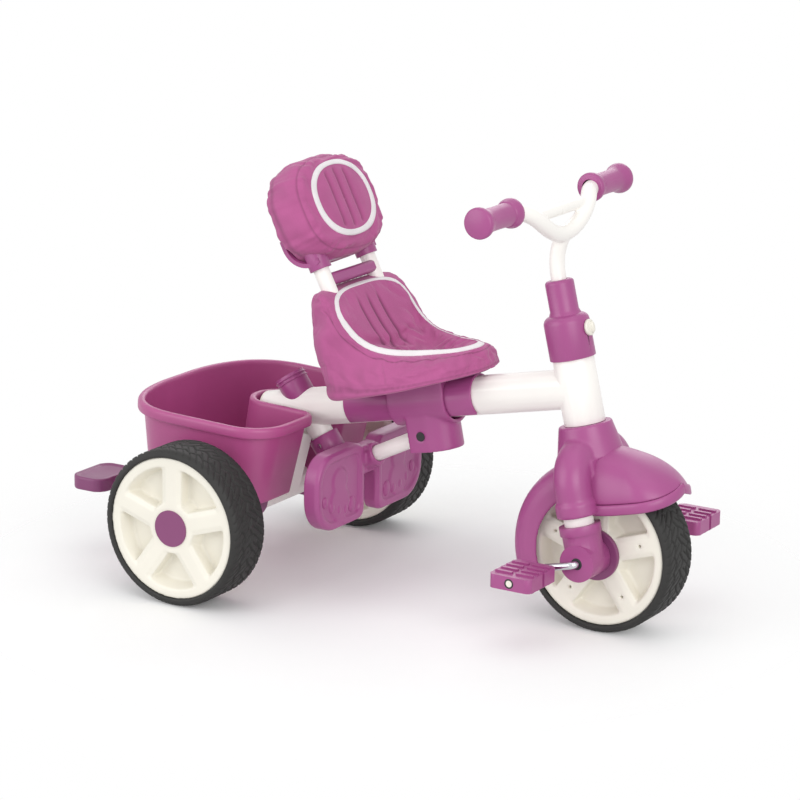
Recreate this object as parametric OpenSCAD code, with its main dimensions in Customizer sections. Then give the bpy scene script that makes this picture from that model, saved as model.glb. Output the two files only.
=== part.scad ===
// Toddler push-along trike: tube frame, rear bucket, padded seat and headrest, steered front wheel.
// +X is forward, +Y is the rider's left, +Z is up. Millimetres and degrees.

/* [Wheels] */
// Outside diameter of every tyre
wheel_d = 220; // [200:1:240]
// Width of every tyre
tyre_w = 73; // [66:1:78]
// Diameter of the white wheel inside the tyre
rim_d = 198; // [180:1:200]
// Distance from the rear axle to the front axle
wheelbase = 535; // [520:1:560]
// Width over the outer faces of the rear tyres
track_w = 520; // [500:1:560]
// Number of spokes
spoke_n = 5; // [4:1:6]
// Width of a spoke
spoke_w = 32; // [26:1:38]
// Depth of the pockets between the spokes
pocket_h = 21; // [12:1:24]
// Diameter of the round hub cap
hub_cap_d = 51; // [46:1:56]
// Diameter of the rear axle rod
axle_d = 12; // [10:0.5:14]

/* [Frame] */
// Diameter of the sloping main tube
tube_d = 54; // [50:0.5:56]
// Wall of the frame tubes
tube_wall = 2.5; // [2:0.1:3.5]
// Length of the main tube back from the steering axis
tube_l = 502; // [496:1:520]
// Slope of the main tube, rising forward
tube_rise = 11.8; // [10:0.1:13]
// Height of the tube joint up the steering axis, from the front axle
tube_up = 219; // [214:1:226]
// Diameter of the head tube
head_d = 56; // [54:0.5:60]
// Backward lean of the steering axis
rake = 13.5; // [12:0.1:15]
// Diameter of the rear cross beam
beam_d = 50; // [44:1:52]
// Fore and aft depth of the rear post
post_d = 40; // [34:1:44]
// Width of the rear post
post_w = 30; // [26:1:36]
// Forward lean of the rear post
post_lean = 15; // [12:0.5:18]

/* [Push handle socket] */
// Bore that takes the push handle
push_bore_d = 28.6; // [26:0.2:30]
// Distance of the socket back along the main tube
push_back = 441; // [436:1:446]
// Lean of the socket, back from square to the main tube
push_lean = 24; // [20:0.5:28]
// Reach of the socket above the tube axis
push_top = 51; // [46:1:56]
// Reach of the socket below the tube axis
push_low = 66; // [62:1:72]

/* [Steering] */
// Diameter of the body of the headset cover
cover_d = 62; // [60:0.5:66]
// Diameter of the neck of the headset cover
neck_d = 39; // [36:0.5:44]
// Diameter of the handlebar tube
bar_d = 22; // [20:0.5:24]
// Width over the grips
bar_w = 392; // [370:1:410]
// Length of a grip
grip_l = 91; // [84:1:98]
// Diameter of the grip flanges
grip_d = 45; // [42:0.5:48]
// Distance from the wheel's centre plane to a fork leg
leg_y = 62; // [61:0.5:66]
// Diameter of a fork leg
leg_d = 40; // [36:0.5:42]
// Outside radius of the fender over the tyre
fender_r = 129; // [126:0.5:134]
// Half of the fender's width
fender_half = 48; // [46:0.5:52]
// Forward reach of the fender's brim from the front axle
fender_reach = 114; // [112:0.5:120]

/* [Cranks and pedals] */
// Length of a crank
crank_l = 53; // [50:1:56]
// Diameter of the crank rod
rod_d = 10; // [9:0.5:11]
// Width of a pedal
pedal_w = 74; // [66:1:80]
// Fore and aft length of a pedal
pedal_l = 62; // [56:1:66]
// Thickness of a pedal
pedal_h = 24; // [20:1:26]

/* [Bucket] */
// Height of the bucket's rim above the ground
bucket_top = 241; // [236:1:246]
// Depth of the bucket
bucket_h = 117; // [110:1:120]
// Distance of the rear rim behind the rear axle
bucket_rear = 181; // [172:1:190]
// Distance of the front rim ahead of the rear axle
bucket_front = 92; // [88:1:98]
// Half of the width at the rear corners
bucket_half_rear = 150; // [142:1:156]
// Half of the width at the front corners
bucket_half_front = 163; // [157:1:168]
// Half of the width of the notch round the main tube
notch_half = 39; // [37:0.5:42]
// Wall of the bucket
bucket_wall = 3; // [2.5:0.1:4]

/* [Seat] */
// Distance of the seat back along the main tube
seat_back = 239; // [230:1:246]
// Length of the seat behind its middle
seat_rear = 107; // [103:1:112]
// Length of the seat ahead of its middle
seat_nose = 113; // [106:1:118]
// Half of the seat's width
seat_half = 106; // [100:1:110]
// Height of the seat's front edge above the tube axis
seat_low = 67; // [62:0.5:72]
// Height of the top of the seat back above the tube axis
seat_top = 170; // [160:1:174]
// Height of the middle of the seat pan above the tube axis
pan_up = 51; // [48:0.5:55]
// Distance from the middle to each headrest post
post_y = 59; // [56:0.5:62]
// Diameter of a headrest post
post_dia = 22; // [20:0.5:23]
// Lean of the posts, back from square to the main tube
back_lean = 15.2; // [14:0.2:17]

/* [Headrest] */
// Width of the headrest pad
pad_w = 190; // [182:1:198]
// Height of the headrest pad
pad_h = 144; // [138:1:150]
// Thickness of the headrest pad ahead of the posts
pad_front = 43; // [39:0.5:47]
// Thickness of the headrest pad behind the posts
pad_rear = 31; // [28:0.5:34]
// Height of the pad's lower edge above the top of the seat back
pad_up = 37; // [33:1:44]

/* [Footrest] */
// Width of one foot plate
plate_w = 122; // [112:1:126]
// Height of one foot plate
plate_h = 110; // [104:1:116]
// Thickness of a foot plate
plate_t = 24; // [20:0.5:27]
// Diameter of the footrest bar
foot_bar_d = 22; // [20:0.5:23]
// Length of the bar from its pivot to the plates
foot_bar_l = 123; // [116:1:126]
// Slope of the bar when the footrest is put away
foot_slope = 26.6; // [24:0.2:29]

/* [Brake pedals] */
// Reach of a brake pedal behind the rear axle
brake_reach = 255; // [245:1:262]
// Width of a brake pedal's pad
brake_pad_w = 86; // [78:1:92]
// Fore and aft length of a brake pedal's pad
brake_pad_l = 58; // [50:1:62]

/* [Hidden] */
$fn = 64;

magenta = "#B4528F";
dark_magenta = "#8E3A70";
off_white = "#F1EFE8";
tyre_black = "#2B2A29";
steel = "#B9BCC0";
bolt_black = "#1E1E1F";

// Clearances: a running fit on the radius, a gap between moving pieces, a seat in one body, a cut's overrun
run_gap = 0.06;
move_gap = 0.5;
seat_gap = 0.1;
over = 1;

// The origin stands under the middle of the whole length
wheel_r = wheel_d / 2;
mid_x = (wheelbase + fender_reach - brake_reach) / 2;

// Wheel sizes
rim_r = rim_d / 2;
half_tyre = tyre_w / 2;
tyre_shoulder = 9;
rim_inset = 3;
rim_face = half_tyre - rim_inset;
rim_ring_w = 13;
hub_ring_r = 35;
pocket_slope = 7;
tyre_grip = 2;
groove_d = 2.2;
groove_w = 3.5;
groove_n = 4;
panel_h = 2;
panel_edge = 6;
hole_d = 5;
cap_plug_d = 40;
cap_plug_h = 12;
cap_lift = 1.6;
nut_h = 5;
nut_d = 26;
wheel_y = track_w / 2 - half_tyre;
beam_clear = 7;
beam_half = wheel_y - half_tyre - beam_clear;

// Frame places
join_x = wheelbase - tube_up * sin(rake);
join_z = wheel_r + tube_up * cos(rake);
tube_r = tube_d / 2;
head_r = head_d / 2;
head_wall = 5;
crown_top = 172;
head_low = crown_top + move_gap;
head_high = 261;
steerer_d = 30;
bush_l = 20;
receiver_wall = 2.7;
receiver_r = push_bore_d / 2 + receiver_wall;
collar_wall = 5;
collar_r = receiver_r + collar_wall;
low_collar_h = 24;
beam_r = beam_d / 2;
post_set = 10;
post_wall = 4;
tongue_gap = 0.2;
bolt_d = 8;
bolt_head_d = 13;
bolt_head_h = 5;
bolt_socket_d = 6;
bolt_ups = [26, 46];
tongue_low = 14;
end_cap_h = 16;
end_cap_lip = 3;

// Bucket corners
rear_corner = 62;
front_corner = 52;
horn_r = 19;
bucket_draft = 12;
front_lean = 10;
lip_h = 15;
lip_out = 7;
lip_bead = 3;
bucket_lean = 2.4;
arc_n = 6;
saddle_gap = 0.3;
brake_y = 75;
brake_hub_w = 22;
brake_hub_wall = 6;
brake_room = 6;
brake_arm_w = 20;
brake_arm_h = 12;
brake_pad_h = 10;
brake_pad_r = 20;
brake_rim = 5;
brake_dish = 2.5;

// Seat rail and bracket
rail_wall = 3;
rail_l = 208;
rail_front = 152;
rail_open = 74;
rail_r = tube_r + seat_gap + rail_wall;
bracket_l = 92;
bracket_wall = 5;
bracket_r = rail_r + move_gap + bracket_wall;
housing_half = 31;
cheek_in = 1.5;
cheek_half = bracket_r - cheek_in;
nose_in = 1;
nose_half = housing_half - nose_in;
housing_low = 70;
nose_s = 12;
pivot_back = -2;
pivot_low = 47;
pin_d = 8;
pin_head_d = 13;
pin_head_h = 3;
eye_d = 28;
slot_play = 1.5;
slot_half = foot_bar_d / 2 + slot_play;

// Seat shell and cover
shell_t = 6;
saddle_top = 1.5;
shell_low = rail_r + move_gap + saddle_top;
shell_inset = 15;
socket_wall = 1.4;
socket_cover = 5;
socket_sink = 14;
socket_r = post_dia / 2 + move_gap + socket_wall;
post_back = seat_rear - post_dia / 2 - socket_cover;
cover_gap = 0.4;
hem_drop = 10;
hem_rise = 2;
rim_in = 18;
seat_crown = 17;
seat_corner = 36;
plan_n = 6;
rim_fall_start = 40;
rim_fall_power = 2.2;
bowl_power = 2.4;
seat_pole = 15;
nose_square = 1.9;
seat_bulge = 3;
hem_in = 5;
channel_d = 3;
channel_w = 6;
channel_step = 30;

// Headrest
pad_square = 2.7;
pad_channel_step = 27;
pad_channel_d = 3;
pad_channel_w = 7;
pad_ring_n = 56;
shell_back_t = 6;
shell_half = 74;
shell_rise = 12;
post_collar_wall = 4.5;
post_collar_h = 26;
post_in_pad = 92;
post_in_seat = 112;
tie_h = 17;
tie_t = 20;
tie_low = 4.5;
tie_corner = 5;

// Footrest
plate_gap_y = 16;
plate_corner = 40;
plate_inner_corner = 16;
plate_border = 12;
plate_dish = 4;
plate_top_up = 30;
bridge_h = 34;
ring_wall = 6;
ring_l = 26;

// Steering sizes
cover_low = head_high;
cover_shoulder = 320;
cover_top = 367;
shoulder_r = 11;
top_round = 5;
cover_wall = 4;
knob_up = 299;
knob_flange_d = 22;
knob_flange_h = 4;
knob_wing_w = 9;
knob_wing_h = 14;
knob_wing_l = 26;
knob_shaft_d = 8;
stem_bottom = 275;
stem_bend = 392;
v_low = 417;
v_fwd = 24;
grip_up = 473;
grip_fwd = 11.4;
cross_up = 460;
cross_fwd = 25;
cross_half = 50;
cross_d = 16;
arm_y = 84;
v_share = 0.6;
v_rise = 14;
v_lean = 3;
arm_up_z = 449;
stem_d = 21;
sweep_n = 8;
sweep_sides = 16;
grip_flange_l = 8;
grip_waist_d = 31;
grip_end = 5;
crown_low = 127;
crown_top_r = 36;
crown_low_r = 46;
arm_up = 134;
arm_r = 25;
arm_bend = 38;
ring_low = 60;
ring_high = 78;
ring_r = 28;
leg_high = 108;
leg_low = 30;
end_r = 26;
end_band_r = 28;
end_band_low = 36;
end_high = 48;
end_in = 41;
boss_out = 1;
end_out = leg_y + end_r + boss_out;
boss_r = 25;
axle_bush_d = 16;

// Fender shape, as angles about the front axle from the forward direction, square to the steering axis
fender_t = 3;
fender_rear_a = 188;
tip_up = 68.7;
fender_tip_a = atan2(tip_up, fender_reach / cos(rake) + tip_up * tan(rake));
fender_swell_a = 80;
hood_flare = 8;
nose_power = 2.3;
fender_side_a = 62;
fender_low_r = 84;
brim_up = 57;
fender_rows = 16;
fender_cols = 14;
fender_square = 3.4;
brim_lip = 4;
lip_a = 80;
brim_grow = 0.9;

// Cranks and pedals
crank_bend = 7;
crank_y = end_out + crank_bend;
crank_droop = 13.5;
pedal_gap = 1;
pedal_in = crank_y + crank_bend + pedal_gap;
pedal_corner = 8;
rib_n = 4;
rib_h = 2.5;
rib_w = 5;
rib_share = 0.4;
rib_l = pedal_l * rib_share;
side_groove_w = 6;
side_groove_d = 2.5;
pedal_cap_d = 10;
pedal_cap_h = 3;
flange_r = 35;
flange_h = 8;

// Placing
module stand() {
    translate([-mid_x, 0, 0])
        children();
}

module steer_frame() {
    stand()
        translate([wheelbase, 0, wheel_r])
            rotate([0, -rake, 0])
                children();
}

module tube_frame() {
    stand()
        translate([join_x, 0, join_z])
            rotate([0, -tube_rise, 0])
                children();
}

module push_frame() {
    tube_frame()
        translate([-push_back, 0, 0])
            rotate([0, -push_lean, 0])
                children();
}

module beam_post_frame() {
    stand()
        translate([0, 0, wheel_r])
            rotate([0, post_lean, 0])
                children();
}

module seat_frame() {
    tube_frame()
        translate([-seat_back, 0, 0])
            children();
}

module post_frame() {
    seat_frame()
        translate([-post_back, 0, seat_top])
            rotate([0, -back_lean, 0])
                children();
}

module foot_frame() {
    seat_frame()
        translate([pivot_back, 0, -pivot_low])
            rotate([0, tube_rise, 0])
                children();
}

module front_axle_frame() {
    stand()
        translate([wheelbase, 0, wheel_r])
            children();
}

// A cylinder along Y between two places
module y_rod(r, y0, y1) {
    translate([0, y0, 0])
        rotate([-90, 0, 0])
            cylinder(r = r, h = y1 - y0);
}

// A cylinder along X between two places
module x_rod(r, x0, x1) {
    translate([x0, 0, 0])
        rotate([0, 90, 0])
            cylinder(r = r, h = x1 - x0);
}

// A cylinder along Z between two places
module z_rod(r, z0, z1) {
    translate([0, 0, z0])
        cylinder(r = r, h = z1 - z0);
}

// A rectangle with round corners about the origin
module round_rect(w, h, r) {
    square([w - 2 * r, h], center = true);
    square([w, h - 2 * r], center = true);
    for (sx = [-1, 1])
        for (sy = [-1, 1])
            translate([sx * (w / 2 - r), sy * (h / 2 - r)])
                circle(r = r);
}

// Points on an arc
function arc(c, r, a0, a1, n = arc_n) =
    [for (i = [0 : n]) let (a = a0 + (a1 - a0) * i / n) [c[0] + r * cos(a), c[1] + r * sin(a)]];

// A point on a cubic curve
function bezier(p, t) =
    p[0] * pow(1 - t, 3) + p[1] * 3 * t * pow(1 - t, 2) + p[2] * 3 * t * t * (1 - t) + p[3] * pow(t, 3);

function unit(v) = v / norm(v);

// Signed power, for rounded squares
function spow(v, p) = sign(v) * pow(abs(v), p);

// A closed skin over rings with equal counts of points; a ring that isn't convex has its own end faces
module skin(rings, ends = []) {
    n = len(rings[0]);
    m = len(rings);
    caps = len(ends) > 0 ? ends : [[for (j = [0 : n - 1]) j]];
    points = [for (ring = rings) each ring];
    sides = [for (i = [0 : m - 2]) for (j = [0 : n - 1])
        let (a = i * n + j, b = i * n + (j + 1) % n)
            each [[a, b, a + n], [b, b + n, a + n]]];
    first = [for (face = caps) [for (k = [len(face) - 1 : -1 : 0]) face[k]]];
    last = [for (face = caps) [for (k = face) (m - 1) * n + k]];
    polyhedron(points, concat(first, sides, last));
}

// End faces of a ring that runs out along a line and back beside it: one face for each step
function strip_ends(from, n) = [for (j = [0 : n / 2 - 2])
    [from + j, from + j + 1, from + n - 2 - j, from + n - 1 - j]];

// A round tube along a path, with a steady side direction
module sweep(path, r, side) {
    m = len(path) - 1;
    rings = [for (i = [0 : m])
        let (d = unit(path[min(i + 1, m)] - path[max(i - 1, 0)]))
            let (v = unit(cross(d, side)))
                let (w = cross(v, d))
                    [for (k = [0 : sweep_sides - 1])
                        let (a = 360 * k / sweep_sides)
                            path[i] + r * (cos(a) * w - sin(a) * v)]];
    skin(rings);
}

// Frame
module main_frame() {
    color(off_white)
        difference() {
            union() {
                difference() {
                    tube_frame()
                        x_rod(tube_r, -tube_l, 0);
                    tube_frame()
                        x_rod(tube_r - tube_wall, -tube_l - over, 0);
                }
                steer_frame()
                    z_rod(head_r, head_low, head_high);
                push_frame()
                    z_rod(receiver_r, -push_low, push_top);
                difference() {
                    beam_post_frame()
                        tongue();
                    tube_frame() {
                        x_rod(tube_r - tube_wall / 2, -tube_l - over, 0);
                        x_rod(tube_r + seat_gap, -tube_l - post_reach, -tube_l);
                    }
                    frame_bolt_holes(bolt_d / 2 + seat_gap);
                }
            }
            steer_frame()
                z_rod(head_r - head_wall, head_low - over, head_high + over);
            push_frame()
                z_rod(push_bore_d / 2, -push_low - over, push_top + over);
        }
}

tongue_d = post_d - 2 * (post_wall + tongue_gap);
tongue_w = post_w - 2 * (post_wall + tongue_gap);
reach_share = 1.2;
post_reach = reach_share * (join_z - wheel_r);

module tongue() {
    translate([post_set - tongue_d / 2, -tongue_w / 2, beam_r - tongue_low + bolt_ups[0] - bolt_d])
        cube([tongue_d, tongue_w, tube_up / 2 - beam_r]);
}

module frame_bolt_holes(r) {
    for (up = bolt_ups)
        beam_post_frame()
            translate([post_set, 0, beam_r + up - tongue_low])
                y_rod(r, -post_w, post_w);
}

module tube_end_cap() {
    color(off_white)
        tube_frame() {
            x_rod(tube_r, -tube_l - end_cap_lip, -tube_l);
            x_rod(tube_r - tube_wall - seat_gap, -tube_l, -tube_l + end_cap_h);
        }
}

module push_socket_upper() {
    color(magenta)
        difference() {
            push_frame()
                difference() {
                    z_rod(collar_r, 0, push_top);
                    z_rod(receiver_r + seat_gap, -over, push_top + over);
                }
            tube_frame()
                x_rod(tube_r + seat_gap, -tube_l - over, 0);
        }
}

module push_socket_lower() {
    color(magenta)
        push_frame()
            difference() {
                z_rod(collar_r, -push_low - collar_wall, -push_low - collar_wall + low_collar_h);
                z_rod(receiver_r + seat_gap, -push_low, -push_low + low_collar_h + over);
                translate([0, 0, -push_low - collar_wall + low_collar_h / 2])
                    y_rod(bolt_d / 2, -collar_r - over, -receiver_r);
            }
}

module rear_frame() {
    color(off_white) {
        difference() {
            union() {
                beam_post_frame()
                    translate([post_set - post_d / 2, -post_w / 2, 0])
                        cube([post_d, post_w, post_reach]);
                stand()
                    translate([0, 0, wheel_r])
                        y_rod(beam_r, -beam_half, beam_half);
            }
            beam_post_frame()
                translate([post_set - post_d / 2 + post_wall, -post_w / 2 + post_wall, beam_r - tongue_low])
                    cube([post_d - 2 * post_wall, post_w - 2 * post_wall, post_reach]);
            tube_frame()
                x_rod(tube_r + seat_gap, -tube_l - post_reach, 0);
            tube_frame()
                translate([-tube_l - post_reach, -tube_d, 0])
                    cube([tube_l, 2 * tube_d, post_reach]);
            push_frame()
                z_rod(collar_r + seat_gap, -push_low - collar_wall - over, push_top);
            frame_bolt_holes(bolt_d / 2 + seat_gap);
            stand()
                translate([0, 0, wheel_r])
                    y_rod(axle_d / 2 + seat_gap, -track_w, track_w);
        }
    }
}

module frame_bolts() {
    color(bolt_black)
        for (up = bolt_ups)
            beam_post_frame()
                translate([post_set, 0, beam_r + up - tongue_low])
                    difference() {
                        union() {
                            y_rod(bolt_d / 2, -post_w / 2, post_w / 2);
                            y_rod(bolt_head_d / 2, -post_w / 2 - bolt_head_h, -post_w / 2);
                            y_rod(bolt_head_d / 2, post_w / 2, post_w / 2 + bolt_head_h);
                        }
                        translate([0, -post_w / 2 - bolt_head_h - over, 0])
                            rotate([-90, 0, 0])
                                cylinder(d = bolt_socket_d, h = bolt_head_h, $fn = 6);
                    }
}

axle_end = wheel_y + rim_face - cap_plug_h + nut_h;

module rear_axle() {
    color(steel)
        stand()
            translate([0, 0, wheel_r])
                y_rod(axle_d / 2, -axle_end, axle_end);
}

module axle_spacers() {
    color(off_white)
        stand()
            for (s = [-1, 1])
                translate([0, s * (beam_half + wheel_y - half_tyre + rim_inset) / 2, wheel_r])
                    spacer(wheel_y - half_tyre + rim_inset - beam_half - move_gap);
}

module spacer(w) {
    difference() {
        y_rod(axle_d, -w / 2, w / 2);
        y_rod(axle_d / 2 + seat_gap, -w, w);
    }
}

module axle_nuts() {
    color(steel)
        stand()
            for (s = [-1, 1])
                translate([0, s * (axle_end - nut_h / 2), wheel_r])
                    difference() {
                        y_rod(nut_d / 2, -nut_h / 2, nut_h / 2);
                        y_rod(axle_d / 2 + seat_gap, -nut_h, nut_h);
                    }
}

// Bucket outline at one height, drawn in from the rim by a distance
function bucket_half(d, front) = concat(
    arc([rear_corner - bucket_rear, bucket_half_rear - rear_corner], rear_corner - d, 180, 93),
    arc([front - front_corner, bucket_half_front - front_corner], front_corner - d, 93, 0),
    arc([front - horn_r, notch_half + horn_r], horn_r - d, 0, -90),
    arc([0, 0], notch_half + d, 90, 174));

function bucket_ring(d, z) =
    let (half = bucket_half(d, bucket_front - front_lean * max(1 - z / (bucket_h - lip_h), 0)))
        concat([for (p = half) [p[0], p[1], z]],
            [for (i = [len(half) - 1 : -1 : 0]) [half[i][0], -half[i][1], z]]);

half_n = 4 * (arc_n + 1);
bucket_ends = concat(strip_ends(0, half_n), [[0, half_n - 1, half_n, 2 * half_n - 1]],
    strip_ends(half_n, half_n));

module bucket_skin() {
    skin([
        bucket_ring(bucket_draft, 0),
        bucket_ring(bucket_draft * lip_h / bucket_h, bucket_h - lip_h),
        bucket_ring(-lip_out, bucket_h - lip_h),
        bucket_ring(-lip_out, bucket_h - lip_bead),
        bucket_ring(-lip_out + lip_bead, bucket_h),
        bucket_ring(bucket_wall - lip_bead / 2, bucket_h),
        bucket_ring(bucket_wall, bucket_h - lip_bead),
        bucket_ring(bucket_draft + bucket_wall, bucket_wall)], bucket_ends);
}

module bucket() {
    floor_z = bucket_top - bucket_h - wheel_r;
    hub_r = beam_r + brake_hub_wall + brake_room;
    color(magenta)
        stand()
            translate([0, 0, wheel_r])
                difference() {
                    union() {
                        rotate([0, bucket_lean, 0])
                            translate([0, 0, floor_z])
                                mirror([0, 1, 0])
                                    bucket_skin();
                        arch(beam_r + saddle_gap + bucket_wall, bucket_half_rear - bucket_draft, 0);
                        arch(hub_r + bucket_wall, brake_hub_w / 2 + brake_room + bucket_wall, brake_y);
                        arch(hub_r + bucket_wall, brake_hub_w / 2 + brake_room + bucket_wall, -brake_y);
                    }
                    y_rod(beam_r + saddle_gap, -track_w, track_w);
                    for (s = [-1, 1])
                        translate([0, s * brake_y, 0])
                            y_rod(hub_r, -brake_hub_w / 2 - brake_room, brake_hub_w / 2 + brake_room);
                }
}

// An arch in the bucket's floor, over the beam
module arch(r, half, y) {
    floor_z = bucket_top - bucket_h - wheel_r;
    intersection() {
        translate([0, y, 0])
            y_rod(r, -half, half);
        translate([-r, -track_w, floor_z])
            cube([2 * r, 2 * track_w, 2 * r]);
        rotate([0, bucket_lean, 0])
            translate([0, 0, floor_z])
                mirror([0, 1, 0])
                    skin([
                        bucket_ring(bucket_draft + bucket_wall / 2, bucket_wall / 2),
                        bucket_ring(bucket_draft * lip_h / bucket_h + bucket_wall / 2, bucket_h - lip_h)],
                        bucket_ends);
    }
}

module seat_rail() {
    color(magenta)
        tube_frame()
            difference() {
                x_rod(rail_r, -rail_front - rail_l, -rail_front);
                x_rod(tube_r + seat_gap, -rail_front - rail_l - over, -rail_front + over);
                translate([-rail_front - rail_l - over, -rail_r * sin(rail_open / 2), -2 * rail_r])
                    cube([rail_l + 2 * over, 2 * rail_r * sin(rail_open / 2), 2 * rail_r]);
            }
}

module head_bush(low) {
    difference() {
        z_rod(head_r - head_wall - seat_gap, low, low + bush_l);
        z_rod(steerer_d / 2 + run_gap, low - over, low + bush_l + over);
    }
}

module head_bush_upper() {
    color(bolt_black)
        steer_frame()
            head_bush(head_high - bush_l);
}

module head_bush_lower() {
    color(bolt_black)
        steer_frame()
            head_bush(head_low);
}

module headset_cover() {
    body_r = cover_d / 2;
    neck_r = neck_d / 2;
    color(magenta)
        steer_frame()
            difference() {
                rotate_extrude()
                    polygon(concat(
                        [[0, cover_low], [body_r, cover_low]],
                        arc([body_r - shoulder_r, cover_shoulder - shoulder_r], shoulder_r, 0, 80),
                        [[neck_r, cover_shoulder + shoulder_r / 2]],
                        arc([neck_r - top_round, cover_top - top_round], top_round, 0, 90),
                        [[0, cover_top]]));
                z_rod(body_r - cover_wall, cover_low - over, cover_shoulder - shoulder_r);
                z_rod(bar_d / 2 + move_gap, cover_low - over, cover_top + over);
                translate([0, 0, knob_up])
                    x_rod(knob_shaft_d / 2 + run_gap, 0, cover_d);
            }
}

module lock_knob() {
    color(off_white)
        steer_frame()
            translate([cover_d / 2 + move_gap, 0, knob_up]) {
                x_rod(knob_shaft_d / 2, -cover_wall - 2 * move_gap, knob_flange_h);
                x_rod(knob_flange_d / 2, 0, knob_flange_h);
                intersection() {
                    translate([0, -knob_wing_w / 2, -knob_wing_l / 2])
                        cube([knob_flange_h + knob_wing_h, knob_wing_w, knob_wing_l]);
                    x_rod(knob_wing_l / 2, 0, knob_flange_h + knob_wing_h);
                }
            }
}

// Steering
module steerer_tube() {
    color(steel)
        steer_frame()
            difference() {
                z_rod(steerer_d / 2, crown_low, cover_shoulder - 2 * shoulder_r);
                z_rod(bar_d / 2 + seat_gap, stem_bottom - over, cover_shoulder);
            }
}

// The handlebar's line on one side, from the low point of the V out to the end of the grip
v_points = [[v_fwd, 0, v_low], [v_fwd, cross_half * v_share, v_low], [cross_fwd, cross_half, v_low + v_rise],
    [cross_fwd, cross_half, arm_up_z]];
arm_points = [v_points[3], [cross_fwd, cross_half + v_lean, grip_up - bar_d / 3],
    [grip_fwd, arm_y - bar_d, grip_up], [grip_fwd, arm_y, grip_up]];
half_bar = concat(
    [for (i = [1 : sweep_n]) bezier(v_points, i / sweep_n)],
    [for (i = [1 : sweep_n]) bezier(arm_points, i / sweep_n)],
    [[grip_fwd, bar_w / 2 - grip_end, grip_up]]);
bar_line = concat(
    [for (i = [len(half_bar) - 1 : -1 : 0]) [half_bar[i][0], -half_bar[i][1], half_bar[i][2]]],
    [v_points[0]],
    half_bar);

module handlebar() {
    stem_points = [[0, 0, stem_bend], [0, 0, stem_bend + bar_d / 2], [v_fwd / 2, 0, v_low - bar_d / 4],
        [v_fwd, 0, v_low]];
    color(off_white)
        steer_frame() {
            sweep(concat([[0, 0, stem_bottom]], [for (i = [0 : sweep_n]) bezier(stem_points, i / sweep_n)]),
                stem_d / 2, [0, 1, 0]);
            sweep(bar_line, bar_d / 2, [1, 0, 0]);
            translate([cross_fwd, 0, cross_up])
                y_rod(cross_d / 2, -cross_half, cross_half);
        }
}

module grip() {
    r = grip_d / 2;
    waist = grip_waist_d / 2;
    y0 = bar_w / 2 - grip_l;
    rotate([-90, 0, 0])
        difference() {
            rotate_extrude()
                polygon(concat(
                    [[0, y0]],
                    arc([r - grip_flange_l / 4, y0 + grip_flange_l / 4], grip_flange_l / 4, -90, 0),
                    [for (i = [0 : 2 * arc_n]) let (t = i / arc_n - 1)
                        [waist + (r - grip_flange_l / 4 - waist) * t * t * t * t,
                            y0 + grip_l / 2 + t * (grip_l / 2 - grip_flange_l)]],
                    arc([r - grip_flange_l / 4, bar_w / 2 - grip_flange_l / 4], grip_flange_l / 4, 0, 90),
                    [[0, bar_w / 2]]));
            z_rod(bar_d / 2 + seat_gap, y0 - over, bar_w / 2 - grip_end);
        }
}

module grip_right() {
    color(magenta)
        steer_frame()
            translate([grip_fwd, 0, grip_up])
                mirror([0, 1, 0])
                    grip();
}

module grip_left() {
    color(magenta)
        steer_frame()
            translate([grip_fwd, 0, grip_up])
                grip();
}

// One shoulder of the fork, from the crown out and down to the ring round the leg
module fork_shoulder(s) {
    translate([0, s * (leg_y - arm_bend), arm_up - arm_bend])
        rotate([90, 0, 90])
            mirror([s < 0 ? 1 : 0, 0, 0])
                rotate_extrude(angle = 90)
                    translate([arm_bend, 0])
                        circle(r = arm_r);
    translate([0, 0, arm_up])
        y_rod(arm_r, s > 0 ? 0 : arm_bend - leg_y, s > 0 ? leg_y - arm_bend : 0);
    translate([0, s * leg_y, 0]) {
        z_rod(arm_r, ring_low, arm_up - arm_bend);
        z_rod(ring_r, ring_low, ring_high);
    }
}

module fork_crown() {
    color(magenta)
        steer_frame()
            difference() {
                union() {
                    translate([0, 0, crown_low])
                        cylinder(r1 = crown_low_r, r2 = crown_top_r, h = crown_top - crown_low);
                    for (s = [-1, 1])
                        fork_shoulder(s);
                    translate([-ring_r, -fender_half, ring_low])
                        cube([2 * ring_r, 2 * fender_half, fender_r - ring_low]);
                }
                z_rod(steerer_d / 2 + seat_gap, crown_low, crown_top + over);
                for (s = [-1, 1])
                    translate([0, s * leg_y, 0])
                        z_rod(leg_d / 2 + seat_gap, ring_low - over, leg_high);
                wheel_room();
            }
}

// The space kept free round the front tyre
module wheel_room() {
    rotate([0, rake, 0])
        y_rod(wheel_r + brim_lip, -half_tyre - rim_inset, half_tyre + rim_inset);
}

// Fender sections: rows go round the front axle from the rear to the tip, columns go across
function blend(a, a0, a1) = let (t = min(max((a - a0) / (a1 - a0), 0), 1)) t * t * (3 - 2 * t);
tip_f = fender_reach / cos(rake) + tip_up * tan(rake);
brim_slope = (tip_up - brim_up) / (tip_f - leg_d);
function brim(a) = (brim_up - leg_d * brim_slope) / (sin(a) - brim_slope * cos(a));
function fender_top(a) = fender_r
    + (norm([tip_f, tip_up]) - fender_r) * blend(a, fender_swell_a, fender_tip_a);
function fender_low(a) = min(fender_top(a) - fender_t,
    fender_low_r + (brim(min(a, 90)) - fender_low_r) * blend(a, 90, fender_side_a));
function fender_wide(a) = (fender_half + hood_flare * blend(a, 100, fender_side_a))
    * pow(1 - pow(min(max((fender_side_a - a) / (fender_side_a - fender_tip_a), 0), 1), nose_power),
        1 / nose_power);

// Distance from the axle at an angle round it and an angle across the arch, inside a wall of t
function fender_radius(a, q, t) = fender_low(a)
    + (fender_top(a) - t - fender_low(a)) * pow(cos(q), 2 / fender_square);

joint_steps = 8;

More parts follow.
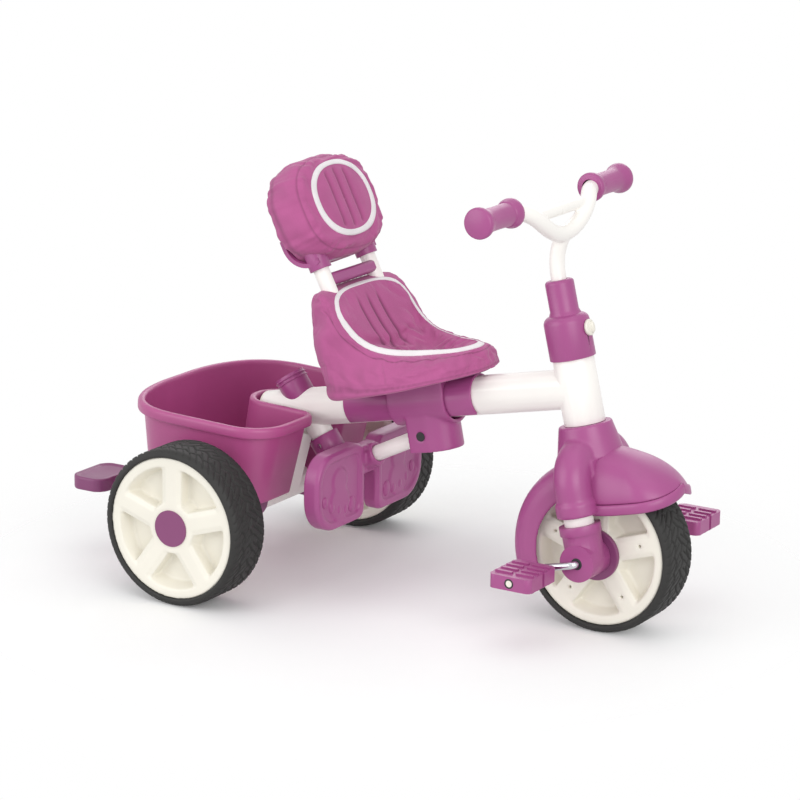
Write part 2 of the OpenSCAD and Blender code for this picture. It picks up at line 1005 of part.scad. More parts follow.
// The angle at which a line along the arch meets the flat joint with the yoke
function joint_a(f, q, t, a = 90, k = joint_steps) = k == 0 ? a
    : joint_a(f, q, t, acos(f / fender_radius(a, q, t)), k - 1);

function fender_point(f, a1, share, q, t) =
    let (a0 = joint_a(f, q, t))
        let (a = a0 + (a1 - a0) * share)
            let (r = fender_radius(a, q, t),
                out = abs(q) > lip_a ? brim_lip * blend(a, 90, fender_side_a) : 0,
                y = (max(fender_wide(a), 3 * fender_t) - t + out) * spow(sin(q), 2 / fender_square))
                [r * cos(a), y, r * sin(a)];

// One cross section of the fender wall, outside and back along the inside
function fender_ring(f, a1, share) = concat(
    [for (j = [0 : fender_cols]) fender_point(f, a1, share, 90 * (2 * j / fender_cols - 1), 0)],
    [for (j = [fender_cols : -1 : 0]) fender_point(f, a1, share, 90 * (2 * j / fender_cols - 1), fender_t)]);

module fender_front() {
    color(magenta)
        steer_frame()
            skin([for (i = [0 : fender_rows])
                fender_ring(ring_r + seat_gap, fender_tip_a + brim_grow, i / fender_rows)],
                strip_ends(0, 2 * fender_cols + 2));
}

module fender_rear() {
    color(magenta)
        steer_frame()
            skin([for (i = [fender_rows : -1 : 0])
                fender_ring(-ring_r - seat_gap, fender_rear_a, i / fender_rows)],
                strip_ends(0, 2 * fender_cols + 2));
}

module fork_leg(s) {
    color(off_white)
        steer_frame()
            translate([0, s * leg_y, 0])
                difference() {
                    z_rod(leg_d / 2, leg_low, leg_high);
                    z_rod(leg_d / 2 - tube_wall, leg_low - over, leg_high + over);
                }
}

module fork_leg_right() {
    fork_leg(-1);
}

module fork_leg_left() {
    fork_leg(1);
}

module fork_end(s) {
    color(magenta)
        steer_frame()
            mirror([0, s < 0 ? 1 : 0, 0])
                difference() {
                    union() {
                        translate([0, leg_y, 0]) {
                            z_rod(end_r, 0, end_high);
                            z_rod(end_band_r, end_band_low, end_high);
                        }
                        y_rod(boss_r, end_in, end_out);
                    }
                    translate([0, leg_y, 0])
                        z_rod(leg_d / 2 + seat_gap, leg_low, end_high + over);
                    translate([-wheel_r, end_in - 2 * end_band_r, -wheel_r])
                        cube([2 * wheel_r, 2 * end_band_r, 2 * wheel_r]);
                    y_rod(axle_bush_d / 2 + seat_gap, end_in - over, end_out + over);
                }
}

module fork_end_right() {
    fork_end(-1);
}

module fork_end_left() {
    fork_end(1);
}

module axle_bushes() {
    color(bolt_black)
        front_axle_frame()
            for (s = [-1, 1])
                mirror([0, s < 0 ? 1 : 0, 0])
                    difference() {
                        y_rod(axle_bush_d / 2, end_in, end_out);
                        y_rod(rod_d / 2 + run_gap, end_in - over, end_out + over);
                    }
}

// Wheels
module wheel_body(bore_r) {
    pocket_out = rim_r - rim_ring_w;
    color(off_white)
        difference() {
            union() {
                difference() {
                    rotate([90, 0, 0])
                        cylinder(r = rim_r, h = 2 * rim_face, center = true);
                    for (s = [0, 1])
                        mirror([0, s, 0])
                            rotate([-90, 0, 0])
                                rotate_extrude()
                                    polygon([
                                        [hub_ring_r, rim_face + over],
                                        [hub_ring_r, rim_face],
                                        [hub_ring_r + pocket_slope, rim_face - pocket_h],
                                        [pocket_out - pocket_slope, rim_face - pocket_h],
                                        [pocket_out, rim_face],
                                        [pocket_out, rim_face + over]]);
                }
                for (i = [0 : spoke_n - 1])
                    rotate([0, i * 360 / spoke_n, 0])
                        spoke(pocket_out);
            }
            y_rod(bore_r, -tyre_w, tyre_w);
            for (i = [0 : spoke_n - 1])
                rotate([0, i * 360 / spoke_n, 0])
                    translate([0, 0, (hub_ring_r + pocket_out) / 2 + panel_edge])
                        y_rod(hole_d / 2, -rim_face - over, -rim_face + pocket_h / 2);
        }
}

module spoke(pocket_out) {
    inner = hub_ring_r - panel_edge / 2;
    outer = pocket_out + panel_edge / 2;
    translate([-spoke_w / 2, -rim_face + panel_h, inner])
        cube([spoke_w, 2 * (rim_face - panel_h), outer - inner]);
    translate([-spoke_w / 2 + panel_edge, -rim_face, inner])
        cube([spoke_w - 2 * panel_edge, 2 * rim_face, outer - inner]);
}

module tyre() {
    bed_r = rim_r + seat_gap;
    color(tyre_black)
        rotate([-90, 0, 0])
            difference() {
                rotate_extrude()
                    polygon(concat(
                        [[bed_r, -half_tyre + tyre_grip], [bed_r + tyre_grip, -half_tyre]],
                        arc([wheel_r - tyre_shoulder, -half_tyre + tyre_shoulder], tyre_shoulder, -80, 0),
                        arc([wheel_r - tyre_shoulder, half_tyre - tyre_shoulder], tyre_shoulder, 0, 80),
                        [[bed_r + tyre_grip, half_tyre], [bed_r, half_tyre - tyre_grip]]));
                for (i = [1 : groove_n])
                    translate([0, 0, -half_tyre + tyre_w * i / (groove_n + 1) - groove_w / 2])
                        difference() {
                            z_rod(wheel_r + over, 0, groove_w);
                            z_rod(wheel_r - groove_d, -over, groove_w + over);
                        }
            }
}

module front_wheel() {
    front_axle_frame()
        difference() {
            wheel_body(rod_d / 2 + seat_gap);
            color(off_white)
                for (s = [-1, 1])
                    y_rod(flange_r - hub_ring_r / 3, s > 0 ? rim_face - flange_h : -rim_face - over,
                        s > 0 ? rim_face + over : -rim_face + flange_h);
        }
}

module front_tyre() {
    front_axle_frame()
        tyre();
}

module hub_flange(s) {
    color(dark_magenta)
        front_axle_frame()
            mirror([0, s < 0 ? 1 : 0, 0])
                difference() {
                    union() {
                        y_rod(flange_r - hub_ring_r / 3 - seat_gap, rim_face - flange_h, rim_face);
                        y_rod(flange_r, rim_face, end_in - move_gap);
                    }
                    y_rod(rod_d / 2 + seat_gap, 0, end_in);
                }
}

module hub_flange_right() {
    hub_flange(-1);
}

module hub_flange_left() {
    hub_flange(1);
}

// A quarter bend of the crank rod: it leaves along +Y and ends along +X
module rod_bend() {
    translate([crank_bend, 0, 0])
        rotate([0, 0, 90])
            rotate_extrude(angle = 90)
                translate([crank_bend, 0])
                    circle(d = rod_d);
}

module crank_side() {
    translate([0, crank_y - crank_bend, 0])
        rod_bend();
    translate([0, crank_y, 0])
        x_rod(rod_d / 2, crank_bend, crank_l - crank_bend);
    translate([crank_l, crank_y + crank_bend, 0])
        rotate([0, 0, 180])
            rod_bend();
    translate([crank_l, 0, 0])
        y_rod(rod_d / 2, crank_y + crank_bend, pedal_in + pedal_w - pedal_cap_h);
}

module crank() {
    color(steel)
        front_axle_frame()
            rotate([0, -crank_droop, 0]) {
                y_rod(rod_d / 2, crank_bend - crank_y, crank_y - crank_bend);
                crank_side();
                rotate([0, 0, 180])
                    crank_side();
            }
}

// A pedal, with its spindle on the Y axis
module pedal_body() {
    tread = pedal_h / 2 - rib_h;
    difference() {
        union() {
            translate([0, pedal_in + pedal_w / 2, -tread])
                linear_extrude(2 * tread)
                    round_rect(pedal_l, pedal_w, pedal_corner);
            for (i = [0 : rib_n - 1])
                for (s = [-1, 1])
                    translate([s * pedal_l / 4 - rib_l / 2,
                        pedal_in + pedal_w * (i + 1) / (rib_n + 1) - rib_w / 2, -pedal_h / 2])
                        cube([rib_l, rib_w, pedal_h]);
        }
        y_rod(rod_d / 2 + run_gap, pedal_in - over, pedal_in + pedal_w + over);
        for (s = [-1, 1])
            translate([s * pedal_l / 2 - side_groove_d, pedal_in + (pedal_w - side_groove_w) / 2, -pedal_h])
                cube([2 * side_groove_d, side_groove_w, 2 * pedal_h]);
        y_rod(pedal_cap_d / 2 + seat_gap, pedal_in + pedal_w - pedal_cap_h, pedal_in + pedal_w + over);
    }
}

module pedal_place(s) {
    front_axle_frame()
        rotate([0, s > 0 ? -crank_droop : 180 - crank_droop, 0])
            translate([crank_l, 0, 0])
                rotate([0, s > 0 ? crank_droop : crank_droop - 180, 0])
                    mirror([0, s < 0 ? 1 : 0, 0])
                        children();
}

module pedal_right() {
    color(magenta)
        pedal_place(-1)
            pedal_body();
}

module pedal_left() {
    color(magenta)
        pedal_place(1)
            pedal_body();
}

module pedal_cap() {
    color(off_white)
        y_rod(pedal_cap_d / 2, pedal_in + pedal_w - pedal_cap_h + seat_gap, pedal_in + pedal_w);
}

module pedal_cap_right() {
    pedal_place(-1)
        pedal_cap();
}

module pedal_cap_left() {
    pedal_place(1)
        pedal_cap();
}

module rear_place(s) {
    stand()
        translate([0, s * wheel_y, wheel_r])
            mirror([0, s < 0 ? 1 : 0, 0])
                children();
}

module rear_wheel() {
    difference() {
        wheel_body(axle_d / 2 + run_gap);
        color(off_white)
            y_rod(cap_plug_d / 2 + seat_gap, rim_face - cap_plug_h, rim_face + over);
    }
}

module rear_wheel_right() {
    rear_place(-1)
        rear_wheel();
}

module rear_wheel_left() {
    rear_place(1)
        rear_wheel();
}

module rear_tyre_right() {
    rear_place(-1)
        tyre();
}

module rear_tyre_left() {
    rear_place(1)
        tyre();
}

module hub_cap() {
    color(magenta)
        difference() {
            union() {
                y_rod(hub_cap_d / 2, rim_face, rim_face + cap_lift);
                y_rod(cap_plug_d / 2, rim_face - cap_plug_h / 2, rim_face);
            }
            y_rod(nut_d / 2 + 2 * move_gap, rim_face - cap_plug_h, rim_face - cap_lift);
        }
}

module hub_cap_right() {
    rear_place(-1)
        hub_cap();
}

module hub_cap_left() {
    rear_place(1)
        hub_cap();
}

// Seat
module seat_bracket() {
    half = bracket_l / 2;
    color(magenta)
        seat_frame()
            difference() {
                union() {
                    x_rod(bracket_r, -half, half);
                    translate([-half, -cheek_half, 0])
                        cube([bracket_l, 2 * cheek_half, shell_low]);
                    housing();
                }
                x_rod(rail_r + move_gap, -half - over, half + over);
                translate([-half - over, -2 * bracket_r, shell_low])
                    cube([bracket_l + 2 * over, 4 * bracket_r, 2 * bracket_r]);
                translate([pivot_back, 0, -pivot_low]) {
                    y_rod(pin_d / 2 + seat_gap, -housing_half - over, housing_half + over);
                    y_rod(eye_d / 2 + move_gap, -slot_half, slot_half);
                    translate([-2 * bracket_l, -slot_half, -2 * bracket_l])
                        cube([2 * bracket_l + eye_d / 2, 2 * slot_half, 2 * bracket_l + eye_d / 2]);
                    for (s = [-1, 1])
                        y_rod(pin_head_d / 2 + seat_gap,
                            s > 0 ? housing_half - pin_head_h : -housing_half - over,
                            s > 0 ? housing_half + over : -housing_half + pin_head_h);
                }
            }
}

// The block under the tube that holds the footrest's pivot, with a nose that is round in plan
module housing() {
    translate([-bracket_l / 4, -housing_half, -housing_low])
        cube([bracket_l / 4 + nose_s, 2 * housing_half, housing_low]);
    translate([nose_s, 0, 0])
        z_rod(nose_half, -housing_low, 0);
}

// Half of the seat's plan outline, drawn in by a distance, from the middle of the rear to the nose
function seat_half_line(d) =
    let (c = max(seat_corner - d, over), rear = d - seat_rear, side = seat_half - d)
        concat(
            [for (i = [0 : plan_n - 1]) [rear, (side - c) * i / plan_n]],
            arc([rear + c, side - c], c, 180, 90, plan_n),
            [for (i = [1 : plan_n - 1]) [(rear + c) * (1 - i / plan_n), side]],
            [for (i = [0 : 2 * plan_n])
                let (a = 45 * i / plan_n)
                    [(seat_nose - d) * pow(sin(a), 2 / nose_square), side * pow(cos(a), 2 / nose_square)]]);

function seat_plan(d) = let (half = seat_half_line(d), n = len(half))
    concat([half[n - 1]], [for (i = [n - 2 : -1 : 1]) [half[i][0], -half[i][1]]],
        [for (i = [0 : n - 2]) half[i]]);

function seat_rim(s) = seat_low + (seat_top - seat_low)
    * pow(min(max((rim_fall_start - s) / (rim_fall_start + seat_rear - seat_crown), 0), 1), rim_fall_power);

function hem_up(p) = shell_low + cover_gap + hem_rise * blend(p[0], 0, seat_nose)
    - hem_drop * blend(abs(p[1]), rail_r + hem_drop, 2 * rail_r)
        * blend(seat_nose - p[0], 0, seat_nose + seat_rear);

// Sewn channels that run down the seat back
function seat_channel(p) = let (k = round(p[1] / channel_step))
    (p[0] < seat_pole && abs(k) < 2 ? channel_d * exp(-pow((p[1] - k * channel_step) / channel_w, 2)) : 0);

// One ring of the cover's wall: how far in it lies, and how far up from hem to rim as a share
function wall_ring(d, share) =
    let (wall = seat_plan(d), rim = seat_plan(rim_in))
        [for (j = [0 : len(wall) - 1])
            let (low = hem_up(wall[j]), high = seat_rim(rim[j][0]))
                [wall[j][0], wall[j][1], low + (high - low) * share]];

// One ring of the hollow seating face, as a share of the way from the rim to the pan's middle
function bowl_ring(share) = [for (q = seat_plan(rim_in))
    let (p = [q[0] + (seat_pole - q[0]) * share, q[1] * (1 - share)])
        let (up = pan_up + (seat_rim(q[0]) - pan_up) * pow(1 - share, bowl_power))
            [p[0], p[1], up - seat_channel(p) * min(1, 4 * share * (1 - share))]];

function shell_ring(z, d) = [for (p = seat_plan(shell_inset + d)) [p[0], p[1], z]];

wall_shares = [[0, 0.09], [-0.5, 0.3], [-1, 0.55], [-0.5, 0.78], [1, 0.92], [3, 0.985], [5, 1.01]];
bowl_shares = [0, 0.08, 0.16, 0.25, 0.35, 0.46, 0.58, 0.72, 0.84];
pole_share = 0.92;

module seat_cover() {
    bottom = shell_low + shell_t + cover_gap;
    color(magenta)
        difference() {
            seat_frame()
                skin(concat(
                    [shell_ring(bottom, seat_half / 2), shell_ring(bottom, -cover_gap)],
                    [wall_ring(shell_inset - cover_gap, 0), wall_ring(hem_in, 0)],
                    [for (e = wall_shares) wall_ring(seat_bulge * e[0], e[1])],
                    [for (share = bowl_shares) bowl_ring(share)],
                    [[for (p = bowl_ring(pole_share)) [p[0], p[1], pan_up]]]));
            for (s = [-1, 1])
                post_frame()
                    translate([0, s * post_y, 0])
                        z_rod(socket_r + cover_gap, -2 * post_in_seat, seat_top);
        }
}

module seat_shell() {
    color(dark_magenta)
        difference() {
            union() {
                seat_frame()
                    translate([0, 0, shell_low])
                        linear_extrude(shell_t)
                            polygon([for (p = shell_ring(0, 0)) [p[0], p[1]]]);
                for (s = [-1, 1])
                    post_frame()
                        translate([0, s * post_y, 0])
                            z_rod(socket_r, shell_low - seat_top, -socket_sink);
            }
            seat_frame()
                translate([-2 * seat_rear, -2 * seat_half, shell_low - seat_top])
                    cube([4 * seat_rear, 4 * seat_half, seat_top]);
            for (s = [-1, 1])
                post_frame()
                    translate([0, s * post_y, 0])
                        z_rod(post_dia / 2 + run_gap, -post_in_seat - move_gap, over);
        }
}

module footrest_pin() {
    color(bolt_black)
        foot_frame() {
            y_rod(pin_d / 2, -housing_half + pin_head_h, housing_half - pin_head_h);
            for (s = [-1, 1])
                y_rod(pin_head_d / 2, s > 0 ? housing_half - pin_head_h : -housing_half,
                    s > 0 ? housing_half : -housing_half + pin_head_h);
        }
}

// Headrest
pad_low = pad_up;
pad_mid = pad_low + pad_h / 2;

module headrest_posts() {
    color(off_white)
        for (s = [-1, 1])
            post_frame()
                translate([0, s * post_y, 0])
                    z_rod(post_dia / 2, -post_in_seat, pad_low + post_in_pad);
}

module post_tie() {
    color(magenta)
        post_frame()
            difference() {
                translate([0, post_y, tie_low + tie_h / 2])
                    rotate([90, 0, 0])
                        linear_extrude(2 * post_y)
                            round_rect(tie_t, tie_h, tie_corner);
                for (s = [-1, 1])
                    translate([0, s * post_y, 0])
                        z_rod(post_dia / 2 + seat_gap, tie_low - over, tie_low + tie_h + over);
            }
}

// Side outline of the shell under and behind the pad, thick by t
module shell_side(t) {
    turn_r = pad_rear + shell_back_t;
    translate([-turn_r + shell_back_t - t, pad_low + turn_r])
        square([t, shell_rise]);
    translate([0, pad_low + turn_r])
        intersection() {
            difference() {
                circle(r = turn_r - shell_back_t + t);
                circle(r = turn_r - shell_back_t);
            }
            translate([-2 * turn_r, -2 * turn_r])
                square([2 * turn_r + post_dia / 2, 2 * turn_r]);
        }
}

module headrest_shell() {
    color(magenta)
        post_frame()
            difference() {
                union() {
                    rotate([90, 0, 0])
                        translate([0, 0, -shell_half])
                            linear_extrude(2 * shell_half)
                                shell_side(shell_back_t);
                    for (s = [-1, 1])
                        translate([0, s * post_y, 0])
                            z_rod(post_dia / 2 + post_collar_wall, pad_low - post_collar_h / 4,
                                pad_low + post_collar_h);
                }
                for (s = [-1, 1])
                    translate([0, s * post_y, 0])
                        z_rod(post_dia / 2 + seat_gap, 0, pad_low + pad_h);
            }
}

// Sewn channels that run down the front of the headrest
function pad_channel(y) = let (k = round(y / pad_channel_step))
    (abs(k) < 2 ? pad_channel_d * exp(-pow((y - k * pad_channel_step) / pad_channel_w, 2)) : 0);

// One ring of the pad: how far in from the edge as a share of the half size, how far forward, channel depth
function pad_ring(in, fwd, groove) = [for (j = [0 : pad_ring_n - 1])
    let (a = 360 * j / pad_ring_n)
        let (y = -pad_w / 2 * (1 - in) * spow(cos(a), 2 / pad_square),
            z = pad_h / 2 * (1 - in) * spow(sin(a), 2 / pad_square))
            [fwd - groove * pad_channel(y), y, pad_mid + z]];

pad_back_shares = [[0.8, 1], [0.3, 1], [0.12, 0.9], [0.03, 0.62], [0, 0.2]];
pad_front_shares = [[0, 0.3, 0], [0.03, 0.6, 0], [0.1, 0.82, 0], [0.2, 0.93, 0], [0.3, 0.96, 0],
    [0.36, 0.95, 0.4], [0.46, 0.97, 1], [0.6, 0.99, 1], [0.78, 1, 1], [0.93, 1, 0]];

module pad_solid() {
    skin(concat(
        [for (e = pad_back_shares) pad_ring(e[0], -pad_rear * e[1], 0)],
        [for (e = pad_front_shares) pad_ring(e[0], pad_front * e[1], e[2])]));
}

module headrest_pad() {
    color(magenta)
        post_frame()
            difference() {
                pad_solid();
                rotate([90, 0, 0])
                    translate([0, 0, -pad_w])
                        linear_extrude(2 * pad_w)
                            shell_side(2 * pad_rear);
                for (s = [-1, 1])
                    translate([0, s * post_y, 0]) {
                        z_rod(post_dia / 2 + move_gap, pad_low - over, pad_low + post_in_pad + move_gap);
                        z_rod(post_dia / 2 + post_collar_wall + move_gap, pad_low - pad_h,
                            pad_low + post_collar_h + move_gap);
                    }
            }
}

// Footrest
module footrest_bar() {
    color(off_white)
        foot_frame()
            rotate([0, -foot_slope, 0])
                difference() {
                    union() {
                        x_rod(foot_bar_d / 2, -foot_bar_l, 0);
                        y_rod(eye_d / 2, -foot_bar_d / 2, foot_bar_d / 2);
                    }
                    y_rod(pin_d / 2 + run_gap, -foot_bar_d, foot_bar_d);
                }
}

plate_x = -foot_bar_l * cos(foot_slope) + ring_l / 2;
plate_z = -foot_bar_l * sin(foot_slope) + plate_top_up;

low_corner_share = 1.2;
sole_shares = [[0.72, 0.24], [0.36, 0.18]];

// Outline of one foot plate, across and up from its inner top corner: round outside, tighter inside
module plate_outline(in) {
    big = plate_corner - in;
    low = big * low_corner_share;
    small = plate_inner_corner - in / 4;
    polygon(concat(
        arc([plate_w - in - big, -in - big], big, 90, 0, 2 * arc_n),
        arc([plate_w - in - low, -plate_h + in + low], low, 0, -90, 2 * arc_n),
        arc([in + small, -plate_h + in + small], small, -90, -180),
        arc([in + small, -in - small], small, 180, 90)));
}

// A plain bare-foot shape for the tread of a foot plate
module foot_mark() {
    w = plate_w - 2 * plate_border;
    h = plate_h - 2 * plate_border;
    for (e = sole_shares)
        translate([plate_border + w / 2, -plate_border - h * e[0]])
            circle(r = w * e[1]);
}

module foot_plate() {
    rotate([90, 0, 90])
        difference() {
            union() {
                linear_extrude(plate_t - plate_dish)
                    plate_outline(0);
                translate([0, 0, plate_t - plate_dish])
                    linear_extrude(plate_dish)
                        difference() {
                            plate_outline(plate_dish / 2);
                            plate_outline(plate_border);
                        }
                translate([0, 0, plate_t - plate_dish])
                    linear_extrude(plate_dish / 2)
                        foot_mark();
            }
        }
}

module footrest_plates() {
    color(magenta)
        foot_frame()
            difference() {
                union() {
                    for (s = [0, 1])
                        mirror([0, s, 0])
                            translate([plate_x - plate_t, plate_gap_y, plate_z])
                                foot_plate();
                    translate([plate_x - plate_t, -plate_gap_y - over, plate_z - bridge_h - plate_top_up / 2])
                        cube([plate_t - plate_dish, 2 * (plate_gap_y + over), bridge_h + plate_top_up / 4]);
                    rotate([0, -foot_slope, 0])
                        x_rod(foot_bar_d / 2 + ring_wall, -foot_bar_l - ring_wall, -foot_bar_l + ring_l);
                }
                rotate([0, -foot_slope, 0])
                    x_rod(foot_bar_d / 2 + seat_gap, -foot_bar_l, 0);
            }
}

// Brake pedals: a hub on the beam, an arm under the bucket and a wide pad behind
module brake_pedal() {
    hub_r = beam_r + brake_hub_wall;
    arm_l = brake_reach - brake_pad_l / 2;
    translate([0, 0, wheel_r])
        difference() {
            union() {
                y_rod(hub_r, brake_y - brake_hub_w / 2, brake_y + brake_hub_w / 2);
                translate([-arm_l, brake_y - brake_arm_w / 2, -brake_arm_h])
                    cube([arm_l, brake_arm_w, brake_arm_h]);
                translate([-brake_reach + brake_pad_l / 2, brake_y - brake_arm_w / 2 + brake_pad_w / 2,
                    -brake_pad_h])
                    brake_pad();
            }
            y_rod(beam_r + run_gap, 0, track_w);
        }
}

module brake_pad() {
    difference() {
        linear_extrude(2 * brake_pad_h)
            round_rect(brake_pad_l, brake_pad_w, brake_pad_r);
        translate([0, 0, 2 * brake_pad_h - brake_dish])
            linear_extrude(brake_pad_h)
                round_rect(brake_pad_l - 2 * brake_rim, brake_pad_w - 2 * brake_rim, brake_pad_r - brake_rim);
    }
}

module brake_pedal_right() {
    color(magenta)
        stand()
            mirror([0, 1, 0])
                brake_pedal();
}

module brake_pedal_left() {
    color(magenta)
        stand()
            brake_pedal();
}

main_frame();
tube_end_cap();
push_socket_upper();
push_socket_lower();
rear_frame();
frame_bolts();
rear_axle();
axle_spacers();
axle_nuts();
bucket();
seat_rail();
head_bush_upper();
head_bush_lower();
headset_cover();
lock_knob();
steerer_tube();
handlebar();
grip_right();
grip_left();
fork_crown();
fender_front();
fender_rear();
fork_leg_right();
fork_leg_left();
fork_end_right();
fork_end_left();
axle_bushes();
front_wheel();
front_tyre();
hub_flange_right();
hub_flange_left();
crank();
pedal_right();
pedal_left();
pedal_cap_right();
pedal_cap_left();
rear_wheel_right();
rear_wheel_left();
rear_tyre_right();
rear_tyre_left();
hub_cap_right();
hub_cap_left();
seat_bracket();
seat_shell();
seat_cover();
footrest_pin();
headrest_posts();
post_tie();
headrest_shell();
headrest_pad();
footrest_bar();
footrest_plates();
brake_pedal_right();
brake_pedal_left();
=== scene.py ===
# A toddler's push-along trike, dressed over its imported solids.
# Metres; +X forward, +Y the rider's left, +Z up.
import math

import bmesh
import bpy
import numpy as np
from mathutils import Matrix, Vector


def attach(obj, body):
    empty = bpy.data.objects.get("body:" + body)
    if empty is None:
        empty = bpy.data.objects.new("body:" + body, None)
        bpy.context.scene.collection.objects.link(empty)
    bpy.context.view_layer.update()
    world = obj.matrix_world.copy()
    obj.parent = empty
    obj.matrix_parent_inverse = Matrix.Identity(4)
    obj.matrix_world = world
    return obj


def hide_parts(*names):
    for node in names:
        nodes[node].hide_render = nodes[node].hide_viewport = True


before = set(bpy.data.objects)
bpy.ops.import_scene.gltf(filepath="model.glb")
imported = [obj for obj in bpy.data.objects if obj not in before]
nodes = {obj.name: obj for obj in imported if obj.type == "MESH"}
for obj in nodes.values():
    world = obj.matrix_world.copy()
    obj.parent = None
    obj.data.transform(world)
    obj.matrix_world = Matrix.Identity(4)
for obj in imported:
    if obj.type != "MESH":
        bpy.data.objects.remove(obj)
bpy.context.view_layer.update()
scene = bpy.context.scene
scene.view_settings.view_transform = "Standard"

# Camera: a long lens that looks down by about 15 degrees on the trike's right front quarter, slightly rolled.
# The angles, the distance and the lens were fitted to the photograph's perspective.
cam_az, cam_el, cam_roll = (math.radians(a) for a in (31.36, 14.74, 0.77))
cam_level = np.array([math.sin(cam_az), -math.cos(cam_az), 0.0])
cam_back = cam_level * math.cos(cam_el) + np.array([0.0, 0.0, math.sin(cam_el)])
cam_right = np.array([math.cos(cam_az), math.sin(cam_az), 0.0])
cam_up = np.cross(cam_back, cam_right)
turned_right = math.cos(cam_roll) * cam_right + math.sin(cam_roll) * cam_up
turned_up = math.cos(cam_roll) * cam_up - math.sin(cam_roll) * cam_right
cam_aim, cam_far = np.array([0.0084, 0.0, 0.26544]), 4.2783
cam_place = cam_aim + cam_far * cam_back
camera = bpy.data.objects.new("camera", bpy.data.cameras.new("camera"))
camera.data.lens = 139.36
camera.data.sensor_width = 36.0
cam_axes = np.column_stack([turned_right, turned_up, cam_back, cam_place])
camera.matrix_world = Matrix(np.vstack([cam_axes, [0, 0, 0, 1]]))
scene.collection.objects.link(camera)
scene.camera = camera


# Studio: a pale paper floor that fades into a white surround, lit by large soft lamps.
# The surround is seen as white, and lights the trike a little less than that.
def add(tree, kind, settings=None, **links):
    """Adds one shader node: its own settings, then values or sockets for its inputs, by name or as i0, i1."""
    made = tree.nodes.new(kind)
    for key, value in (settings or {}).items():
        setattr(made, key, value)
    for key, value in links.items():
        name = key.replace("_", " ")
        socket = made.inputs[int(key[1:])] if key[0] == "i" and key[1:].isdigit() else made.inputs[name]
        if isinstance(value, bpy.types.NodeSocket):
            tree.links.new(value, socket)
        else:
            socket.default_value = value
    return made


def new_material(name):
    """An empty material with one Principled shader; returns the material, its tree and the shader."""
    made = bpy.data.materials.new(name)
    made.use_nodes = True
    return made, made.node_tree, made.node_tree.nodes["Principled BSDF"]


world = bpy.data.worlds.new("studio")
scene.world = world
world.use_nodes = True
tree = world.node_tree
tree.nodes.clear()
path = add(tree, "ShaderNodeLightPath")
seen = path.outputs["Is Camera Ray"]
for other in ("Is Glossy Ray", "Is Transmission Ray"):
    seen = add(tree, "ShaderNodeMath", {"operation": "MAXIMUM"}, i0=seen, i1=path.outputs[other]).outputs[0]
level = add(tree, "ShaderNodeMapRange", i0=seen, i3=0.62, i4=1.0)
sky = add(tree, "ShaderNodeBackground", Color=(1, 1, 1, 1), Strength=level.outputs[0])
tree.links.new(sky.outputs[0], add(tree, "ShaderNodeOutputWorld").inputs[0])

floor_mesh = bpy.data.meshes.new("floor")
floor_mesh.from_pydata([(-3, -3, 0), (3, -3, 0), (3, 3, 0), (-3, 3, 0)], [], [(0, 1, 2, 3)])
floor = bpy.data.objects.new("floor", floor_mesh)
scene.collection.objects.link(floor)
floor_paper, tree, shader = new_material("floor_paper")
shader.inputs["Base Color"].default_value = (0.97, 0.97, 0.97, 1)
shader.inputs["Roughness"].default_value = 0.9
shader.inputs["Specular IOR Level"].default_value = 0.1
place = add(tree, "ShaderNodeTexCoord")
far = add(tree, "ShaderNodeVectorMath", {"operation": "LENGTH"}, i0=place.outputs["Object"])
fade = add(
    tree, "ShaderNodeMapRange", {"interpolation_type": "SMOOTHSTEP"}, i0=far.outputs["Value"], i1=0.2, i2=0.8
)
clear = add(tree, "ShaderNodeBsdfTransparent")
mixed = add(tree, "ShaderNodeMixShader", i0=fade.outputs[0], i1=shader.outputs[0], i2=clear.outputs[0])
tree.links.new(mixed.outputs[0], tree.nodes["Material Output"].inputs["Surface"])
floor_mesh.materials.append(floor_paper)

for name, spot, size, power in (
    ("key", (2.7, -1.9, 1.5), 2.2, 50.0),
    ("fill", (-1.6, -2.6, 1.2), 2.4, 36.0),
    ("top", (0.4, -0.4, 3.0), 2.6, 14.0),
    ("back", (-1.0, 2.6, 1.8), 2.0, 18.0),
):
    lamp = bpy.data.lights.new(name, "AREA")
    lamp.shape = "SQUARE"
    lamp.size = size
    lamp.energy = power
    holder = bpy.data.objects.new(name, lamp)
    holder.location = spot
    holder.rotation_euler = (Vector((0, 0, 0.25)) - Vector(spot)).to_track_quat("-Z", "Y").to_euler()
    scene.collection.objects.link(holder)


# Frame: steel tube, welded and powder coated in warm white. The coat has a fine orange peel of about half a
# millimetre, drawn a little coarser so that it shows, and its gloss drifts over a few centimetres.
MM = 0.001
weld_gap, sharp_angle = 0.02, 38


def linear(code):
    """A colour written as sRGB hex, turned to the linear values that shaders take."""
    parts = np.array([int(code[i : i + 2], 16) for i in (1, 3, 5)]) / 255
    parts = np.where(parts <= 0.04045, parts / 12.92, ((parts + 0.055) / 1.055) ** 2.4)
    return (*parts.tolist(), 1.0)


